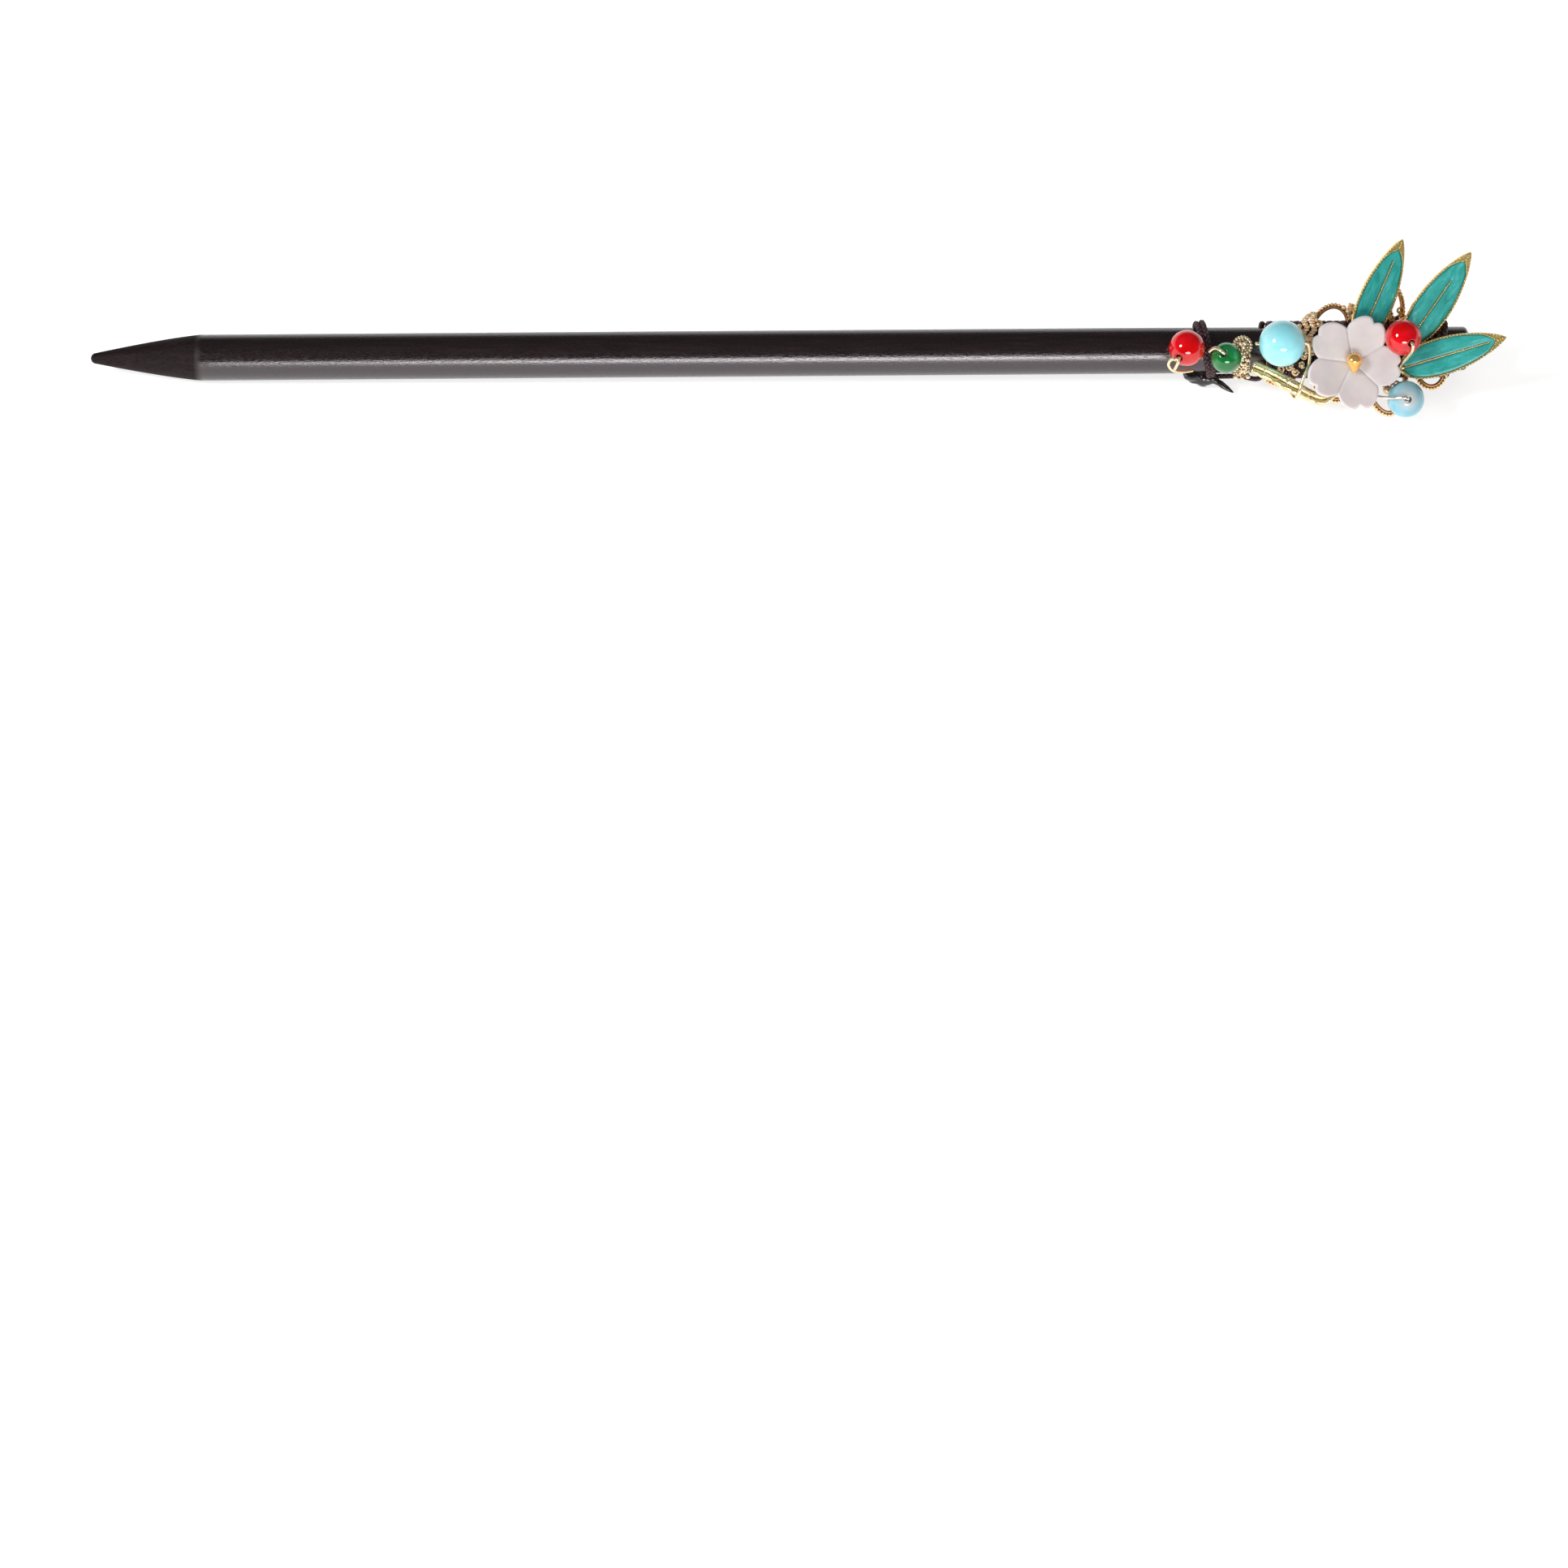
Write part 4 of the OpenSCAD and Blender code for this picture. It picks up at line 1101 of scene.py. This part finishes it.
def twigPart():
    step = 0.12
    path = evenPath(smoothPath([twigAt(row) for row in twigRows], 8), step)
    sizes = smoothSizes([row[2] * twigPiece["thick"] / 2 for row in twigRows], 8)
    part = bmesh.new()
    # Each bar: way aside, thickness as a share, roughness
    for way, thick, rough in ((0.5, 0.66, 0.05), (-0.6, 0.56, 0.3)):
        line, radii = [], []
        for i, point in enumerate(path):
            along = i / (len(path) - 1)
            size = sizes[round(along * (len(sizes) - 1))]
            ahead = (path[min(i + 1, len(path) - 1)] - path[max(i - 1, 0)]).normalized()
            line.append(point + Vector((-ahead.y, ahead.x, 0)) * size * way)
            lumpy = noise.noise((i * step * 1.5, way * 9, 0.3))
            joint = 0.14 * math.exp(-((i * step % 3.3 - 1.4) / 0.16) ** 2)      # every 3.3 mm
            radii.append(size * thick * (1 + rough * lumpy + joint))
        join(part, sweep(line, radii, 14))
    join(part, ball(0.36, path[-1] + Vector((0.15, 0.1, 0)), 12, 8))
    return part


twigGold = castMetal("twigGold", "#fff2c4", "#ead292", "#7c6430", 0.2, hammer=0.6, reach=0.0005)
finishPiece("twigBars", twigPart(), [twigGold], ["twig"], 60)


# Wires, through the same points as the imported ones
wireGold = castMetal("wireGold", "#fff4d4", "#f4e0ac", "#a8823e", 0.16, hammer=0.1)
silverWire = castMetal("silverWire", "#f8f4ee", "#e2ddd6", "#9a9188", 0.16, hammer=0.1)


def offsets(at, rows):
    return [at + Vector(row) for row in rows]


twigTie = twigAt(twigRows[2])
tieOver = twigPiece["thick"] / 2 + wireRadius + 0.06
tieUnder = onStick - wireRadius - 0.25 - twigTie.z
mouth = turquoiseRadius


# Through the hole of a bead and out at its top, then from point to point beside it
def throughHole(at, hole, inside, outside, rows):
    return [at - hole * 1.2, at + hole * inside, at + hole * outside, *offsets(at, rows)]


wireRoutes = {
    "wire_red_1": throughHole(redOneAt, redOneHole, 0.8, redRadius + 0.2, [
        (-2.2, -1.5, 1.4), (-2.4, -2.2, 0.4), (-1.7, -2.9, -0.4), (-0.5, -3.05, -1.2),
        (0.8, -2.9, -1.6)]),
    "wire_green": throughHole(greenAt, greenHole, 0.9, greenRadius + 0.25, [
        (-1.5, 1.3, 1.5), (-2.2, 0.9, 0.6), (-2, 0.7, -0.8)]),
    "wire_turquoise": offsets(turquoiseAt, [
        (-mouth + 0.5, -0.1, -2.15), (-mouth + 0.12, 0, -1.4), (-mouth - 0.12, 0, -0.7),
        (-mouth - 0.1, 0, -0.36), (0, 0, 0), (mouth - 0.1, 0.05, 0.36),
        (mouth + 0.35, -0.25, 0.15), (mouth + 0.6, -1.05, -0.5), (mouth + 0.68, -2, -1.15),
        (mouth + 0.6, -2.75, -1.5)]),
    "wire_red_2": throughHole(redTwoAt, redTwoHole, 0.9, redRadius + 0.3, [
        (0.95, -1.7, 1.6), (0.6, -2.5, 0.3), (0.05, -3.35, -0.9), (-0.1, -3.9, -1.8)]),
    "wire_blue": offsets(blueAt, [
        (-5, 0.4, -1.6), (-4.2, 0.4, -0.2), (-3, 0.25, 0.9), (-1.7, 0.2, 2.05),
        (-0.55, 0.25, 2.65), (0, 0.05, 2.3), (0, 0, 1), (0, 0, -1)]),
    "wire_twig": offsets(twigTie, [
        (1.35, 3.3, tieOver - 0.5), (1.2, 2.8, tieOver - 0.2), (0.85, 2, tieOver),
        (0.5, 1.1, tieOver), (0.1, -0.3, tieOver),
        (-0.15, -1.15, tieOver - 0.95), (-0.25, -1.1, tieUnder + 1.2), (-0.9, 0.2, tieUnder),
        (-1.9, 0.9, tieUnder), (-3, 1.6, tieUnder)]),
}


def bentWire(route):
    return sweep(evenPath(smoothPath(route, 6), 0.18), wireRadius, 12)


for node, route in wireRoutes.items():
    silver = node == "wire_blue"
    part = bentWire(route)
    if node == "wire_red_1":      # the strand that closes the eye below the hole
        join(part, bentWire([redOneAt + redOneHole * (redRadius + 0.1),
                             *offsets(redOneAt, [(-1.35, -2, 1.5), (-1.6, -2.7, 0.2)])]))
    finishPiece(node.replace("_", "") + "Bent", part, [silverWire if silver else wireGold],
                [node], 80)
print("twig and wires bent")


# How the piece lies: on the tip's shoulder, on the lead over the turns, on the widest loop
buttX = stickPiece["length"] / 2
shoulderX = stickPiece["tipLength"] - buttX
leadOut = wrapOut + fit + cordPiece["thick"]
liePitch = math.atan((leadOut - stickRadius) / (buttX + leadX(leadRows[4][0]) - shoulderX))
loopTopX = buttX + plateX + loopRows[2][3] * platePiece["length"]
loopDown = stickRadius + (loopTopX - shoulderX) * math.tan(liePitch)
halfWidth = platePiece["width"] / 2
lieRoll = math.atan2(onStick, halfWidth) + math.asin(loopDown / math.hypot(onStick, halfWidth))
lie = Matrix.Rotation(-liePitch, 4, "Y") @ Matrix.Rotation(lieRoll, 4, "X")
onTable = lie @ Matrix.Translation((buttX * mm, 0, 0)) @ Matrix.Scale(mm, 4)
for mesh, where, sharp in toLay:
    mesh.transform(onTable @ where)
    mesh.shade_smooth()
    mesh.set_sharp_from_angle(angle=math.radians(sharp))
print("pieces laid")


# Camera, where the photograph's stands over the front of the piece
viewPiece = {"frame": 1932, "focalPixels": 5462, "distance": 582.7, "overX": 0.69,
             "axisRow": 435.4, "slope": 0.007265, "sensor": 36}
tilt = math.atan((viewPiece["frame"] / 2 - viewPiece["axisRow"]) / viewPiece["focalPixels"])
slope = math.atan(viewPiece["slope"])
imageRight = Vector((math.cos(slope), -math.sin(slope), 0))
imageUp = Vector((math.sin(slope), math.cos(slope), 0))
awayUp = Vector((0, 0, math.cos(tilt))) + imageUp * math.sin(tilt)
cameraUp = imageUp * math.cos(tilt) - Vector((0, 0, math.sin(tilt)))
cameraTurn = Matrix((imageRight, cameraUp, awayUp)).transposed().to_4x4()
cameraData = bpy.data.cameras.new("camera")
cameraData.sensor_width = viewPiece["sensor"]
cameraData.lens = viewPiece["sensor"] * viewPiece["focalPixels"] / viewPiece["frame"]
cameraData.clip_start = 0.01
camera = put("camera", cameraData)
standPoint = Vector((viewPiece["overX"], 0, viewPiece["distance"])) * mm
camera.matrix_world = lie @ Matrix.Translation(standPoint) @ cameraTurn
bpy.context.scene.camera = camera
print("camera set")


# Table and light, in metres
tablePiece = {"halfSize": 3, "under": 0.00002, "colour": "#dcdbda", "rough": 0.65, "glow": 0.73}
skyPiece = {"horizon": 0.95, "zenith": 0.07, "fade": 0.24, "frontShare": -0.25}
# Lights: name, direction, distance, width, height, power, whether a gloss mirrors it
lightRows = [("keyLight", (-0.727, -0.356, 0.589), 1.2, 0.32, 0.32, 6.8, True),
             ("frontLight", (0.03, -0.985, 0.14), 1.2, 0.7, 0.26, 5.4, True),
             ("topLight", (0, -0.35, 0.94), 1.0, 1.0, 1.0, 2.3, False)]
tableFinish = newFinish("tableTop", tablePiece["colour"], Roughness=tablePiece["rough"],
                        Emission_Color=(1, 1, 1, 1), Emission_Strength=tablePiece["glow"])[0]
tablePart = bmesh.new()
bmesh.ops.create_grid(tablePart, x_segments=1, y_segments=1, size=tablePiece["halfSize"])
tableMesh = bpy.data.meshes.new("table")
tablePart.to_mesh(tableMesh)
tablePart.free()
tableMesh.transform(Matrix.Translation((0, 0, cadBounds[0][2] - tablePiece["under"])))
tableMesh.materials.append(tableFinish)
table = put("table", tableMesh)

world = bpy.data.worlds.new("studio")
world.use_nodes = True
sky = world.node_tree
backdrop = sky.nodes["Background"]
direction = addNode(sky, "ShaderNodeSeparateXYZ", {
    "Vector": addNode(sky, "ShaderNodeTexCoord").outputs["Generated"]}).outputs
upAndFront = mathOf(sky, "MULTIPLY_ADD", direction["Y"], skyPiece["frontShare"], direction["Z"])
backdrop.inputs["Color"].default_value = (1, 1, 1, 1)
plug(sky, backdrop, Strength=rangeOf(sky, upAndFront, 0, skyPiece["fade"],
                                     skyPiece["horizon"], skyPiece["zenith"]))
bpy.context.scene.world = world
bpy.context.scene.view_settings.view_transform = "Standard"

lit = lie @ Vector((0.065, 0, 0.003))      # the lights turn to the middle of the ornament


def softBox(name, direction, distance, wide, high, power, mirrored):
    data = bpy.data.lights.new(name, "AREA")
    data.shape = "ELLIPSE"
    data.size = wide
    data.size_y = high
    data.energy = power
    box = put(name, data)
    away = Vector(direction).normalized()
    box.matrix_world = Matrix.Translation(lit + away * distance) @ aim(away)
    box.visible_glossy = mirrored


for row in lightRows:
    softBox(*row)
print("table and light set")
